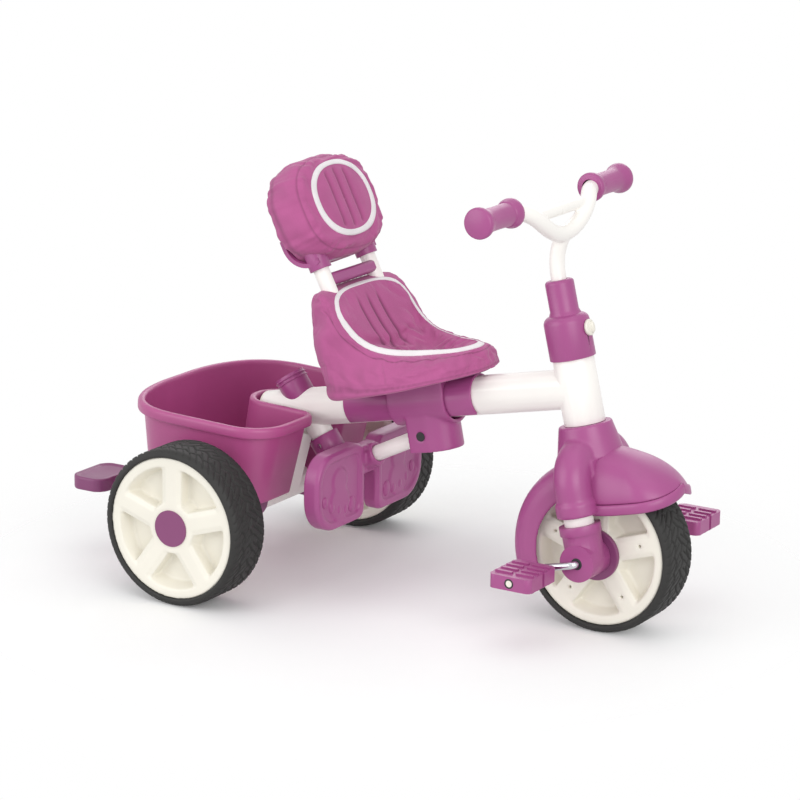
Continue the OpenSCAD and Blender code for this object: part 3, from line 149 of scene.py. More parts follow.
def coated(name, code, rough, peel_mm, peel, drift):
    """A smooth coloured skin: colour drifts over 60 mm, gloss over 35 mm, and a fine peel roughens it."""
    made, tree, shader = new_material(name)
    place = add(tree, "ShaderNodeTexCoord").outputs["Object"]
    broad = add(tree, "ShaderNodeTexNoise", Vector=place, Scale=1 / 0.06, Detail=3.0).outputs["Fac"]
    tone = add(tree, "ShaderNodeMapRange", i0=broad, i1=0.3, i2=0.7, i3=1 - drift, i4=1 + drift)
    shade = add(tree, "ShaderNodeHueSaturation", Value=tone.outputs[0], Color=linear(code))
    tree.links.new(shade.outputs[0], shader.inputs["Base Color"])
    gloss = add(tree, "ShaderNodeTexNoise", Vector=place, Scale=1 / 0.035, Detail=4.0).outputs["Fac"]
    gloss = add(tree, "ShaderNodeMapRange", i0=gloss, i1=0.25, i2=0.75, i3=rough - 0.05, i4=rough + 0.06)
    tree.links.new(gloss.outputs[0], shader.inputs["Roughness"])
    fine = add(tree, "ShaderNodeTexNoise", Vector=place, Scale=1 / (peel_mm * MM), Detail=2.0)
    bump = add(tree, "ShaderNodeBump", Strength=peel, Distance=0.0002, Height=fine.outputs["Fac"])
    tree.links.new(bump.outputs[0], shader.inputs["Normal"])
    return made


def dress(node, finish, edge=0.8):
    """Gives a CAD node its finish, and rounds its edges a little with live modifiers."""
    piece = nodes[node]
    piece.data.materials.clear()
    piece.data.materials.append(finish)
    weld = piece.modifiers.new("weld", "WELD")
    weld.merge_threshold = weld_gap * MM
    bevel = piece.modifiers.new("edge", "BEVEL")
    bevel.width = edge * MM
    bevel.segments = 2
    bevel.limit_method = "ANGLE"
    bevel.angle_limit = math.radians(sharp_angle)
    bevel.harden_normals = True
    bevel.use_clamp_overlap = True


powder_white = coated("powder_coated_steel", "#F8F5F0", 0.32, 0.9, 0.06, 0.012)
for node in "main_frame rear_frame fork_leg_right fork_leg_left headrest_posts footrest_bar".split():
    dress(node, powder_white)

# Mouldings: magenta polypropylene, injection moulded, with a soft satin skin, clipped or screwed on.
# The wheels' hubs and caps and the seat's shell take a darker copy of the same plastic: painted shade.
moulded_magenta = coated("moulded_polypropylene", "#A14C85", 0.36, 1.2, 0.10, 0.03)
magenta_painted_shade = coated("polypropylene_painted_shade", "#82406E", 0.4, 1.2, 0.10, 0.03)
for node in (
    "push_socket_upper push_socket_lower seat_rail headset_cover fork_end_right fork_end_left pedal_right "
    "pedal_left post_tie headrest_shell"
).split():
    dress(node, moulded_magenta, edge=1.2)
for node in ("hub_flange_right", "hub_flange_left", "seat_shell", "hub_cap_right", "hub_cap_left"):
    dress(node, magenta_painted_shade)


# Front moulding: the crown that clamps the fork legs, its two arms, and the fender behind it, all one part in
# life, so copies of their solids are melted together, which leaves the small fillets of a mould.
def melted(name, points, faces, voxel_mm, passes, finish, body, slot, *stands_for):
    """Remeshes closed shells in small voxels, so that they join, and smooths them."""
    mesh = bpy.data.meshes.new(name)
    mesh.from_pydata(points.tolist(), [], faces)
    rough = bpy.data.objects.new(name + "_rough", mesh)
    scene.collection.objects.link(rough)
    weld = rough.modifiers.new("weld", "WELD")
    weld.merge_threshold = weld_gap * MM
    melt = rough.modifiers.new("melt", "REMESH")
    melt.mode = "VOXEL"
    melt.voxel_size = voxel_mm * MM
    ease = rough.modifiers.new("ease", "SMOOTH")
    ease.factor = 0.5
    ease.iterations = passes
    done = bpy.data.meshes.new_from_object(rough.evaluated_get(bpy.context.evaluated_depsgraph_get()))
    bpy.data.objects.remove(rough)
    done.name = name
    done.materials.clear()
    done.materials.append(finish)
    done.shade_smooth()
    piece = bpy.data.objects.new(name, done)
    scene.collection.objects.link(piece)
    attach(piece, body)
    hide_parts(*stands_for)


def moulded(name, parts, voxel_mm, passes, finish, body, slot):
    """Melts copies of CAD solids together; the copy stands for them."""
    points, faces, start = [], [], 0
    for part in parts:
        source = nodes[part]
        spots = np.empty(len(source.data.vertices) * 3)
        source.data.vertices.foreach_get("co", spots)
        turn = np.array(source.matrix_world)
        points.append(spots.reshape(-1, 3) @ turn[:3, :3].T + turn[:3, 3])
        faces += [[start + k for k in face.vertices] for face in source.data.polygons]
        start += len(source.data.vertices)
    melted(name, np.vstack(points), faces, voxel_mm, passes, finish, body, slot, *parts)


front_parts = ["fork_crown", "fender_rear"]
moulded("front_moulding", front_parts, 1.8, 6, moulded_magenta, "steering", "magenta_plastic")


# Hood: the front of the fender, a thin moulded dome that narrows to a round tip, with a stepped brim round
# its edge. It meets the crown at its rear. The rows run from the crown to the tip, each a rounded arch.
def grid_faces(rows, cols, wrap_rows=False, wrap_cols=True):
    """Quads over a grid of rows by cols points, closed round either way if asked."""
    index = np.arange(rows * cols).reshape(rows, cols)
    if wrap_rows:
        index = np.vstack([index, index[:1]])
    if wrap_cols:
        index = np.hstack([index, index[:, :1]])
    return np.stack([index[:-1, :-1], index[:-1, 1:], index[1:, 1:], index[1:, :-1]], -1).reshape(-1, 4)


def new_piece(name, points, faces, finish, body, slot, *stands_for):
    """Makes a smooth mesh piece from points in the row frame, in metres, and puts it on a body."""
    mesh = bpy.data.meshes.new(name)
    mesh.from_pydata(points.reshape(-1, 3).tolist(), [], faces.tolist())
    mesh.shade_smooth()
    mesh.materials.append(finish)
    piece = bpy.data.objects.new(name, mesh)
    scene.collection.objects.link(piece)
    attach(piece, body)
    if stands_for:
        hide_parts(*stands_for)
    return piece


def steered(f, y, u):
    """Points given forward, across and up from the front axle, in the steering's frame, in mm."""
    f, y, u = np.broadcast_arrays(f, y, u)
    return steer_origin + f[..., None] * steer_fwd + y[..., None] * [0, 1, 0] + u[..., None] * steer_up


front_axle_x, axle_z = 338.0, 110.0
steer_origin = np.array([front_axle_x, 0.0, axle_z])
steer_fwd = np.array([0.97237, 0.0, 0.233445])
steer_up = np.array([-0.233445, 0.0, 0.97237])
span = np.linspace(0, 1, 73)[:, None]
spine_a = np.radians(78 - 46 * span)
spine_r = 139 + 8 * span - 3 * np.sin(np.pi * span)
sweep = np.radians(90) * np.clip((span - 0.4) / 0.6, 0, 1)
nose_l, hood_half, band_h = 45.0, 53.5, 10.0
brim_f = np.where(span < 0.4, 4 + 76 * span / 0.4, 80 + nose_l * np.sin(sweep))
brim_y = hood_half * np.cos(sweep)
brim_u = 56.3 + 11 * (sweep / np.radians(90)) ** 3 + 4 * (1 - np.clip(span / 0.3, 0, 1)) ** 2
across = np.radians(np.linspace(-90, 90, 61))[None, :]
lift = np.abs(np.cos(across)) ** (2 / 2.2)
aside = np.sign(np.sin(across)) * np.abs(np.sin(across)) ** (2 / 2.2)
hood_f = brim_f + (spine_r * np.cos(spine_a) - brim_f) * lift
hood_u = brim_u + band_h + (spine_r * np.sin(spine_a) - brim_u - band_h) * lift
hood_y = brim_y * aside
out_f = np.clip(brim_f - 80, 0, None) / nose_l**2
out_y = np.maximum(brim_y, 0.02) / hood_half**2
out_len = np.hypot(out_f, out_y)
step_out = np.array([[0.9, 2.6, 2.8, 2.8, 2.0]])
step_up = np.array([[1.0, 0.96, 0.85, 0.1, 0.0]]) * band_h
band_f = brim_f + step_out * out_f / out_len
band_y = brim_y + step_out * out_y / out_len
band_u = brim_u + step_up
hood_f = np.hstack([band_f[:, ::-1], hood_f, band_f])
hood_y = np.hstack([-band_y[:, ::-1], hood_y, band_y])
hood_u = np.hstack([band_u[:, ::-1], hood_u, band_u])
hood = steered(hood_f, hood_y, hood_u) * MM
faces = grid_faces(*hood_f.shape, wrap_cols=False)
hood = new_piece("fender_hood", hood, faces, moulded_magenta, "steering", "magenta_plastic", "fender_front")
thick = hood.modifiers.new("thickness", "SOLIDIFY")
thick.thickness = 3 * MM
thick.offset = -1


# Handlebar: a stem and a bar of bent steel tube, welded at the foot of a wide V, with a thinner bar across
# the V, all powder coated white. The welds are filled by melting the three tubes together.
def swept(path, radius):
    """A closed round tube along a path given as forward, across and up in the steering's frame, in mm."""
    path = np.asarray(path, float)
    run = np.concatenate([[0], np.cumsum(np.linalg.norm(np.diff(path, axis=0), axis=1))])
    even = np.linspace(0, run[-1], int(run[-1] / 2.5))
    line = np.stack([np.interp(even, run, path[:, k]) for k in range(3)], -1)
    for _ in range(60):
        line[1:-1] = (line[:-2] + 2 * line[1:-1] + line[2:]) / 4
    line = steered(*line.T)
    step = np.gradient(line, axis=0)
    line, step = (np.concatenate([q[:1], q, q[-1:]]) for q in (line, step))
    step /= np.linalg.norm(step, axis=1, keepdims=True)
    first = np.cross(step, steer_fwd)
    first /= np.linalg.norm(first, axis=1, keepdims=True)
    second = np.cross(step, first)
    girth = np.full(len(line), radius)
    girth[[0, -1]] = 0.01
    about = np.linspace(0, 2 * np.pi, tube_sides, endpoint=False)[None, :, None]
    ring = first[:, None] * np.cos(about) + second[:, None] * np.sin(about)
    return line[:, None] + girth[:, None, None] * ring


tube_sides, bar_f, bar_u = 28, 11.4, 473
half_bar = (
    (20, 0, 426), (22, 25, 429), (25, 54, 444), (25.5, 70, 457),
    (22, 84, 468), (14, 97, 472.5), (bar_f, 110, bar_u), (bar_f, 185, bar_u),
)
bar_path = [(f, -y, u) for f, y, u in half_bar[:0:-1]] + list(half_bar)
stem_path = ((0, 0, 300), (0, 0, 388), (4.5, 0, 404), (12, 0, 417), (20, 0, 427))
cross_path = ((21.5, -68, 459.5), (21.5, 68, 459.5))
bar_points, bar_faces = [], []
for path, radius in ((bar_path, 11.0), (stem_path, 10.5), (cross_path, 8.0)):
    tube = swept(path, radius)
    bar_faces += (grid_faces(*tube.shape[:2]) + sum(len(q) for q in bar_points)).tolist()
    bar_points.append(tube.reshape(-1, 3))
bar_points = np.vstack(bar_points) * MM
melted("handlebar_tube", bar_points, bar_faces, 1.5, 6, powder_white, "steering", "white_paint", "handlebar")


# Grips: soft plastic sleeves pushed over the bar's ends, waisted, with a step before the inner rim and a
# closed end. The profile runs from the inner rim, where it meets the bar, to the middle of the closed end.
def turned(name, centre, axis, profile, finish, body, slot, *stands_for):
    """A lathe shape: distances along the axis and radii from it, in mm, swept round the axis."""
    axis = np.asarray(axis, float)
    first = np.array([1.0, 0.0, 0.0]) if abs(axis[1]) > 0.5 else np.array([0.0, 1.0, 0.0])
    second = np.cross(axis, first)
    out, radius = np.array(profile, float).T[:, :, None, None]
    about = np.linspace(0, 2 * np.pi, 64, endpoint=False)[None, :, None]
    spokes = first * np.cos(about) + second * np.sin(about)
    points = np.asarray(centre, float) + out * axis + radius * spokes
    faces = grid_faces(*points.shape[:2])
    new_piece(name, points * MM, faces, finish, body, slot, *stands_for)


grip_profile = (
    (105, 11.1), (105, 17.6), (105.6, 18.8), (107, 19.6), (110, 20.0), (113.5, 19.6), (117, 18.3),
    (120, 17.3), (121.2, 17.0), (121.6, 16.0), (123, 15.7), (126, 15.6), (150, 15.3), (171, 15.6),
    (176, 16.2), (180, 17.4), (184, 19.2), (187, 20.4), (190, 20.8), (193, 20.6), (195, 19.8),
    (196, 18.2), (196, 0.01),
)
grip_spot = steer_origin + bar_f * steer_fwd + bar_u * steer_up
for side, name in ((-1, "grip_right"), (1, "grip_left")):
    sleeve, out = name + "_sleeve", (0, side, 0)
    turned(sleeve, grip_spot, out, grip_profile, moulded_magenta, "steering", "magenta_plastic", name)

# Fork bands: the crown's arms end in a raised band round each leg, moulded with them, of the same plastic.
# Only its outer side is made, since the rest is inside the arm.
leg_y = 62
band_profile = ((60, 21), (60, 26.3), (60.8, 27.1), (77.2, 27.1), (78, 26.4), (78.2, 24.6))
for side, name in ((-1, "fork_band_right"), (1, "fork_band_left")):
    leg = steer_origin + [0, leg_y * side, 0]
    turned(name, leg, steer_up, band_profile, moulded_magenta, "steering", "magenta_plastic")

# Push socket: a moulded collar on the frame's receiver tube. Two fine rings stand out below its mouth,
# moulded with it. Only their outer side is made, since the rest is inside the collar.
push_axis, push_mouth = np.array([-0.585, 0.0, 0.8111]), np.array([-174.6, 0.0, 274.1])
collar_r, bead_r, half_turn = 22.0, 1.3, np.linspace(-np.pi / 2, np.pi / 2, 9)
ring_profile = [
    (h + bead_r * math.sin(a), collar_r + bead_r * math.cos(a)) for h in (-9, -4) for a in half_turn
]
turned("push_socket_rings", push_mouth, push_axis, ring_profile, moulded_magenta, "frame", "magenta_plastic")

# Brake pedals: arms moulded with a hub that turns on the beam, each with a pad for the foot behind its wheel.
# They take the darker copy of the plastic, which is painted shade.
# Copies of the solids are melted, so that their edges are soft.
for name in ("brake_pedal_right", "brake_pedal_left"):
    body = name.replace("_pedal", "")
    moulded(name + "_arm", [name], 1.7, 8, magenta_painted_shade, body, "magenta_plastic")

# Seat bracket and foot plates: thick mouldings with soft edges, screwed to the seat and to the folding bar.
# Each plate is dished, with the print of a foot's toes raised in the dish.
moulded("seat_bracket_body", ["seat_bracket"], 1.6, 8, moulded_magenta, "seat", "magenta_plastic")
moulded("footrest_body", ["footrest_plates"], 1.6, 8, moulded_magenta, "footrest", "magenta_plastic")
dish_x, toe_z, toe_rise = -40.6, 122.0, 3.4
toe_from, toe_step, toe_half_w, toe_half_h = 46, 17, 6.2, 8.5
toe_rim = np.linspace(0, 2 * np.pi, 28, endpoint=False)
polar, ringed = np.meshgrid(np.linspace(0, np.pi / 2, 9), toe_rim, indexing="ij")
for side in (-1, 1):
    toes = []
    for k in range(5):
        big = 1.0 if k else 1.35
        y, z = toe_from + toe_step * k, toe_z - 5 + 2.2 * (k - 1) ** 2
        toes.append(
            np.stack(
                [
                    dish_x + toe_rise * np.cos(polar),
                    side * y + toe_half_w * big * np.sin(polar) * np.cos(ringed) * side,
                    z + toe_half_h * big * np.sin(polar) * np.sin(ringed),
                ],
                -1,
            )
        )
    faces = np.concatenate([grid_faces(*polar.shape) + k * polar.size for k in range(5)])
    name = "foot_toes_right" if side < 0 else "foot_toes_left"
    toes = np.array(toes) * MM
    new_piece(name, toes, faces[:, ::-side], moulded_magenta, "footrest", "magenta_plastic")

# Bucket: a deep tray with a rolled lip, injection moulded in magenta polypropylene, in a U round the frame's
# post. Its floor arches over the beam and over the hubs of the brake pedals.
arc_n, side_n, mid_n, floor_n = 24, 40, 16, 40
bucket_front, bucket_half, bucket_lean, rear_axle_x = 81.0, 165.0, math.radians(2.4), -197.0
horn_r, horn_y, slot_r, slot_y, post_r = 52, 111, 19, 58, 39
rear_x, rear_l, rear_power, front_draft, wall_h = -60, 112, 2.6, 10, 102
beam_arch_r, hub_arch_r, hub_y, arch_half, floor_up = 25.3, 37.0, 75.0, 138.0, 14.0
merge_gap = 0.001


def sealed(piece, reface=False):
    """Merges points that lie together, which closes seams and poles, and can turn every face outwards."""
    shell = bmesh.new()
    shell.from_mesh(piece.data)
    bmesh.ops.remove_doubles(shell, verts=shell.verts, dist=merge_gap * MM)
    if reface:
        bmesh.ops.recalc_face_normals(shell, faces=shell.faces)
    shell.to_mesh(piece.data)
    shell.free()


def smooth_step(v, a, b):
    """Eases from 0 at a to 1 at b: 3 v squared less 2 v cubed."""
    v = np.clip((v - a) / (b - a), 0, 1)
    return v * v * (3 - 2 * v)


def bucket_edges(d, z):
    """The U-shaped plan at height z, drawn in by d: outer and inner edges, from left horn to right horn."""
    front = bucket_front - front_draft * max(1 - z / wall_h, 0)

    def arc(x, y, r, a, b):
        turn = np.radians(np.linspace(a, b, arc_n))
        return np.stack([x + r * np.cos(turn), y + r * np.sin(turn)], -1)

    def whole(first, last):
        share = np.linspace(0, 1, side_n + 2)[1:-1, None]
        half = np.concatenate([first, first[-1] + (last[0] - first[-1]) * share, last])
        share = np.linspace(1, -1, mid_n + 2)[1:-1]
        middle = np.stack([np.full(mid_n, half[-1, 0]), half[-1, 1] * share], -1)
        return np.concatenate([half, middle, half[::-1] * [1, -1]])

    turn = np.radians(np.linspace(90, 172, arc_n))
    round_x, round_y = np.abs(np.cos(turn)) ** (2 / rear_power), np.sin(turn) ** (2 / rear_power)
    rear = np.stack([rear_x - (rear_l - d) * round_x, (bucket_half - d) * round_y], -1)
    outer = whole(arc(front - horn_r, horn_y, horn_r - d, 0, 90), rear)
    inner = whole(arc(front - slot_r, slot_y, slot_r - d, 0, -90), arc(0, 0, post_r + d, 90, 174))
    return outer, inner


def bucket_place(p, z):
    """Stands the bucket's plan and heights on the rear axle, leaned a little."""
    x, z, c, d = p[..., 0], z + floor_up, math.cos(bucket_lean), math.sin(bucket_lean)
    return np.stack([x * c + z * d + rear_axle_x, p[..., 1], z * c - x * d + axle_z], -1)


bucket_profile = (
    (13.6, 0.0), (12.2, 0.6), (11.6, 2.4), (11.4, 4.4), (1.8, 99.0), (1.6, 101.0), (1.2, 102.2),
    (-5.4, 102.2), (-6.6, 102.8), (-7.0, 104.2), (-7.0, 111.5), (-6.6, 114.0), (-5.4, 115.9), (-3.6, 116.8),
    (-1.5, 117.0), (0.6, 116.7), (2.0, 115.8), (2.8, 114.2), (3.2, 112.0), (3.4, 110.0), (14.2, 8.0),
    (14.4, 6.0), (15.0, 4.2), (16.4, 3.0),
)
tray_magenta = coated("tray_polypropylene", "#AE4F86", 0.38, 1.2, 0.10, 0.03)
rings = []
for d, z in bucket_profile:
    outer, inner = bucket_edges(d, z)
    ring = np.concatenate([outer, inner[::-1]])
    rings.append(bucket_place(ring, np.full(len(ring), z)))
rings = np.array(rings)
bucket_points, bucket_faces = [rings.reshape(-1, 3)], [grid_faces(*rings.shape[:2])]
for d, level, skin, flip in ((16.4, 3.0, 3.0, 1), (13.6, 0.0, 0.0, -1)):
    outer, inner = bucket_edges(d, level)
    share = np.linspace(0, 1, floor_n + 1)[:, None, None]
    p = outer + (inner - outer) * share
    x, y = p[..., 0], np.abs(p[..., 1])
    arch = np.sqrt(np.maximum((beam_arch_r + skin) ** 2 - x**2, 0)) * (y < arch_half)
    near_hub = smooth_step(-np.abs(y - hub_y), -22.5, -18)
    hubs = np.sqrt(np.maximum((hub_arch_r + skin) ** 2 - x**2, 0)) * near_hub
    edge = np.minimum(np.minimum(share[..., 0] * floor_n, (1 - share[..., 0]) * floor_n), 1)
    height = level + np.maximum(np.maximum(arch, hubs) - floor_up - level, 0) * edge
    faces = grid_faces(*p.shape[:2], wrap_cols=False)[:, ::flip]
    bucket_faces.append(faces + sum(len(q) for q in bucket_points))
    bucket_points.append(bucket_place(p, height).reshape(-1, 3))
bucket_points, bucket_faces = np.vstack(bucket_points) * MM, np.concatenate(bucket_faces)
tray = new_piece(
    "bucket_tray", bucket_points, bucket_faces, tray_magenta, "frame", "magenta_plastic", "bucket"
)
sealed(tray, reface=True)

# White mouldings: small caps, spacers and the plug of the main tube, moulded in a white plastic that is
# creamier than the paint, with soft edges. They are pushed on or into the ends of tubes and spindles.
moulded_white = coated("blow_moulded_white", "#EAE6DA", 0.42, 1.4, 0.10, 0.02)
for node in "pedal_cap_right pedal_cap_left tube_end_cap axle_spacers".split():
    dress(node, moulded_white, edge=1.5)

# Lock knob: a small white moulded disc that turns on the front of the headset's cover, with a thumb bar
# across it. Its rows go out from the back, and the outer ones are narrowed to the bar.
knob_high, knob_ahead, knob_n = 299.0, 31.3, 48
knob_out = np.array([0.0, 0.0, 3.2, 4.0, 4.3, 4.6, 7.6, 8.6, 9.0, 9.0])[:, None]
knob_r = np.array([0.01, 11.0, 11.0, 10.2, 9.0, 7.4, 7.0, 6.2, 4.4, 0.01])[:, None]
bar_share = np.array([0, 0, 0, 0, 0.3, 1, 1, 1, 1, 1])[:, None]
about = np.linspace(0, 2 * np.pi, knob_n, endpoint=False)[None, :]
knob_y = knob_r * np.cos(about) * (1 - 0.52 * bar_share)
knob = steered(knob_ahead + knob_out, knob_y, knob_high + knob_r * np.sin(about)) * MM
faces = grid_faces(*knob.shape[:2])
new_piece("lock_disc", knob, faces, moulded_white, "lock_knob", "white_plastic", "lock_knob")

# Wheels: blow moulded in the white plastic, with shallow pockets between flat spokes. They turn on the axles.
# Copies of the solids are melted, so that each edge has a mould's fillet.
for wheel in ("front_wheel", "rear_wheel_right", "rear_wheel_left"):
    moulded(wheel + "_body", [wheel], 1.7, 8, moulded_white, wheel, "white_plastic")

# Steel: plated rod, nuts and the steerer, bright and smooth, and blackened bolts and bushes, which are dull.
# The axle's nuts hold the rear wheels on, and the bolts hold the rear post on the tube's tongue.
plated, tree, shader = new_material("plated_steel")
shader.inputs["Base Color"].default_value = linear("#C9CBCE")
shader.inputs["Metallic"].default_value = 1.0
shader.inputs["Roughness"].default_value = 0.14
for node in ("rear_axle", "axle_nuts", "crank", "steerer_tube"):
    dress(node, plated, edge=0.4)
blackened = coated("blackened_steel", "#202022", 0.45, 0.8, 0.1, 0.05)
for node in ("frame_bolts", "footrest_pin", "head_bush_upper", "head_bush_lower", "axle_bushes"):
    dress(node, blackened, edge=0.4)

# Pedal ends: each spindle of the crank is closed by a white cap in a black steel ring, pressed on outside the
# pedal. Each ring is a torus, squashed a little along its axis, with its middle on the spindle.
ring_mid, ring_girth, ring_flat, ring_out = 5.6, 1.1, 0.7, 178.0
about = np.linspace(0, 2 * np.pi, 32, endpoint=False)[:, None]
tube = np.linspace(0, 2 * np.pi, 10, endpoint=False)[None, :]
ring_r = ring_mid + ring_girth * np.cos(tube)
for name, side, x, z in (("pedal_right", -1, 286.46, 97.63), ("pedal_left", 1, 389.54, 122.37)):
    ring_x, ring_z = x + ring_r * np.cos(about), z + ring_r * np.sin(about)
    ring_y = np.broadcast_to(side * (ring_out + ring_flat * np.sin(tube)), ring_x.shape)
    ring = np.stack([ring_x, ring_y, ring_z], -1) * MM
    faces = grid_faces(*ring_x.shape, wrap_rows=True)
    new_piece(name + "_ring", ring, faces, blackened, name, "black_steel")

# Tyres: hollow moulded rubber, a shallow zigzag tread on a flat crown, round shoulders and plain walls.
# Each is one ring of grid; the tread is cut into the radius.
rubber = coated("tyre_rubber", "#242322", 0.68, 0.8, 0.25, 0.08)
tyre_r, tyre_half, bed_r, shoulder, wheel_y = 110.0, 36.5, 99.1, 9.0, 223.5
turn = np.radians(np.linspace(-80, 0, 9))
crown_y = np.linspace(-(tyre_half - shoulder), tyre_half - shoulder, 45)
low_y = -(tyre_half - shoulder) + shoulder * np.sin(turn)
low_r = tyre_r - shoulder + shoulder * np.cos(turn)
rim_y = np.array([-tyre_half + 2.0, -tyre_half + 0.5, -tyre_half])
rim_r = np.array([bed_r, bed_r + 0.6, bed_r + 2.2])
wall_y = np.concatenate([rim_y, low_y[:-1], crown_y, -low_y[::-1][1:], -rim_y[::-1]])
wall_r = np.concatenate([rim_r, low_r[:-1], np.full(45, tyre_r), low_r[::-1][1:], rim_r[::-1]])
tread_steps, zigzags = 26, 30
around = np.linspace(0, 2 * np.pi, tread_steps * zigzags, endpoint=False)
phase = around * zigzags / (2 * np.pi)
zig = np.abs((phase % 1) * 2 - 1)[:, None] * 2 - 1
cross_y = wall_y[None, :]
groove = np.zeros((len(around), len(wall_y)))
for centre, swing, half_w in ((-17.5, 3.4, 1.5), (0.0, 3.8, 1.7), (17.5, 3.4, 1.5)):
    off = np.abs(cross_y - centre - swing * zig)
    groove = np.maximum(groove, np.clip((half_w + 0.6 - off) / 1.2, 0, 1))
sipe = np.abs(((phase[:, None] * 2 + np.abs(cross_y) / 14.0) % 1) - 0.5) * 11.5
groove = np.maximum(groove, 0.7 * np.clip((1.5 - sipe) / 0.8, 0, 1) * (np.abs(cross_y) > 4.5))
groove = groove * np.clip((tyre_half - 1.5 - np.abs(cross_y)) / 2.0, 0, 1)
tread_r = wall_r[None, :] - 2.1 * groove * np.clip((wall_r[None, :] - 101.0) / 4.0, 0, 1)
bed_y = np.linspace(tyre_half - 2.0, -tyre_half + 2.0, 4)[1:-1]
tread_r = np.hstack([tread_r, np.full((len(around), 2), bed_r)])
tread_y = np.concatenate([wall_y, bed_y])
for name, body, centre in (
    ("front_tyre", "front_wheel", (front_axle_x, 0.0, axle_z)),
    ("rear_tyre_right", "rear_wheel_right", (rear_axle_x, -wheel_y, axle_z)),
    ("rear_tyre_left", "rear_wheel_left", (rear_axle_x, wheel_y, axle_z)),
):
    ring = np.stack(
        [
            centre[0] + tread_r * np.cos(around)[:, None],
            centre[1] + np.broadcast_to(tread_y, tread_r.shape),
            centre[2] + tread_r * np.sin(around)[:, None],
        ],
        -1,
    )
    faces = grid_faces(*tread_r.shape, wrap_rows=True)
    new_piece(name + "_tread", ring * MM, faces, rubber, body, "tyre", name)


# Seat cover: woven nylon over foam, drawn over the seat shell to a hem. A white tape is sewn round the
# hollow, and sewn channels run down the back. The plain weave of half a millimetre is drawn coarser, so that
# it shows.
def woven_cloth(name, code, thread_mm):
    """Plain woven nylon: crossing threads in the piece's own cloth coordinates, soft sheen, uneven dye."""
    made, tree, shader = new_material(name)
    cloth = add(tree, "ShaderNodeUVMap").outputs["UV"]
    place = add(tree, "ShaderNodeTexCoord").outputs["Object"]
    pitch = 0.314 / (thread_mm * MM)
    product = {"operation": "MULTIPLY"}
    threads = (
        add(tree, "ShaderNodeTexWave", {"bands_direction": way}, Vector=cloth, Scale=pitch, Distortion=0.4)
        for way in ("X", "Y")
    )
    warp, weft = (thread.outputs["Fac"] for thread in threads)
    weave = add(tree, "ShaderNodeMath", product, i0=warp, i1=weft)
    dye = add(tree, "ShaderNodeTexNoise", Vector=place, Scale=1 / 0.03, Detail=5.0)
    tone = add(tree, "ShaderNodeMapRange", i0=dye.outputs["Fac"], i1=0.3, i2=0.7, i3=0.95, i4=1.05)
    deep = add(tree, "ShaderNodeMapRange", i0=weave.outputs[0], i3=0.9, i4=1.06)
    value = add(tree, "ShaderNodeMath", product, i0=tone.outputs[0], i1=deep.outputs[0])
    # Painted shade: the cloth darkens to 0.42 of its colour where its points are weighted, in the grooves of
    # seams and channels and in crease troughs.
    sewn = add(tree, "ShaderNodeAttribute", {"attribute_name": "seam_and_crease_shade"})
    sewn = add(tree, "ShaderNodeMapRange", i0=sewn.outputs["Fac"], i3=1.0, i4=0.42)
    value = add(tree, "ShaderNodeMath", product, i0=value.outputs[0], i1=sewn.outputs[0])
    shade = add(tree, "ShaderNodeHueSaturation", Value=value.outputs[0], Color=linear(code))
    tree.links.new(shade.outputs[0], shader.inputs["Base Color"])
    crease = add(tree, "ShaderNodeTexNoise", Vector=place, Scale=1 / 0.022, Detail=4.0, Distortion=0.8)
    fold = add(tree, "ShaderNodeBump", Strength=0.35, Distance=0.0015, Height=crease.outputs["Fac"])
    fold, weave = fold.outputs[0], weave.outputs[0]
    bump = add(tree, "ShaderNodeBump", Strength=0.25, Distance=0.0004, Height=weave, Normal=fold)
    tree.links.new(bump.outputs[0], shader.inputs["Normal"])
    shader.inputs["Roughness"].default_value = 0.78
    shader.inputs["Sheen Weight"].default_value = 0.15
    shader.inputs["Sheen Roughness"].default_value = 0.5
    return made


swell_cap, swell_spare, swell_frames, swell_pressure, tape_thick = 5.0, 0.07, 20, 4.0, 0.9
nylon = woven_cloth("woven_nylon", "#B4578E", 1.5)
tape_white = woven_cloth("woven_tape", "#F0ECEE", 1.2)


def cloth_uv(piece, points):
    """Cloth coordinates in metres, kept on the corners: distance round a middle row and up each column."""
    rows, cols = points.shape[:2]
    closed = np.concatenate([points, points[:, :1]], 1)
    middle = closed[rows // 3]
    along = np.concatenate([[0], np.cumsum(np.linalg.norm(np.diff(middle, axis=0), axis=1))])
    up = np.concatenate([np.zeros((1, cols)), np.cumsum(np.linalg.norm(np.diff(points, axis=0), axis=2), 0)])
    layer = piece.data.uv_layers.new(name="cloth")
    loops = np.empty(len(piece.data.loops), int)
    piece.data.loops.foreach_get("vertex_index", loops)
    row, col = loops // cols, loops % cols
    of_face = col.reshape(-1, 4)
    last = np.repeat((of_face.max(1) == cols - 1) & (of_face.min(1) == 0), 4)
    u = np.where(last & (col == 0), along[-1], along[col])
    layer.data.foreach_set("uv", np.stack([u, up[row, col]], -1).ravel())


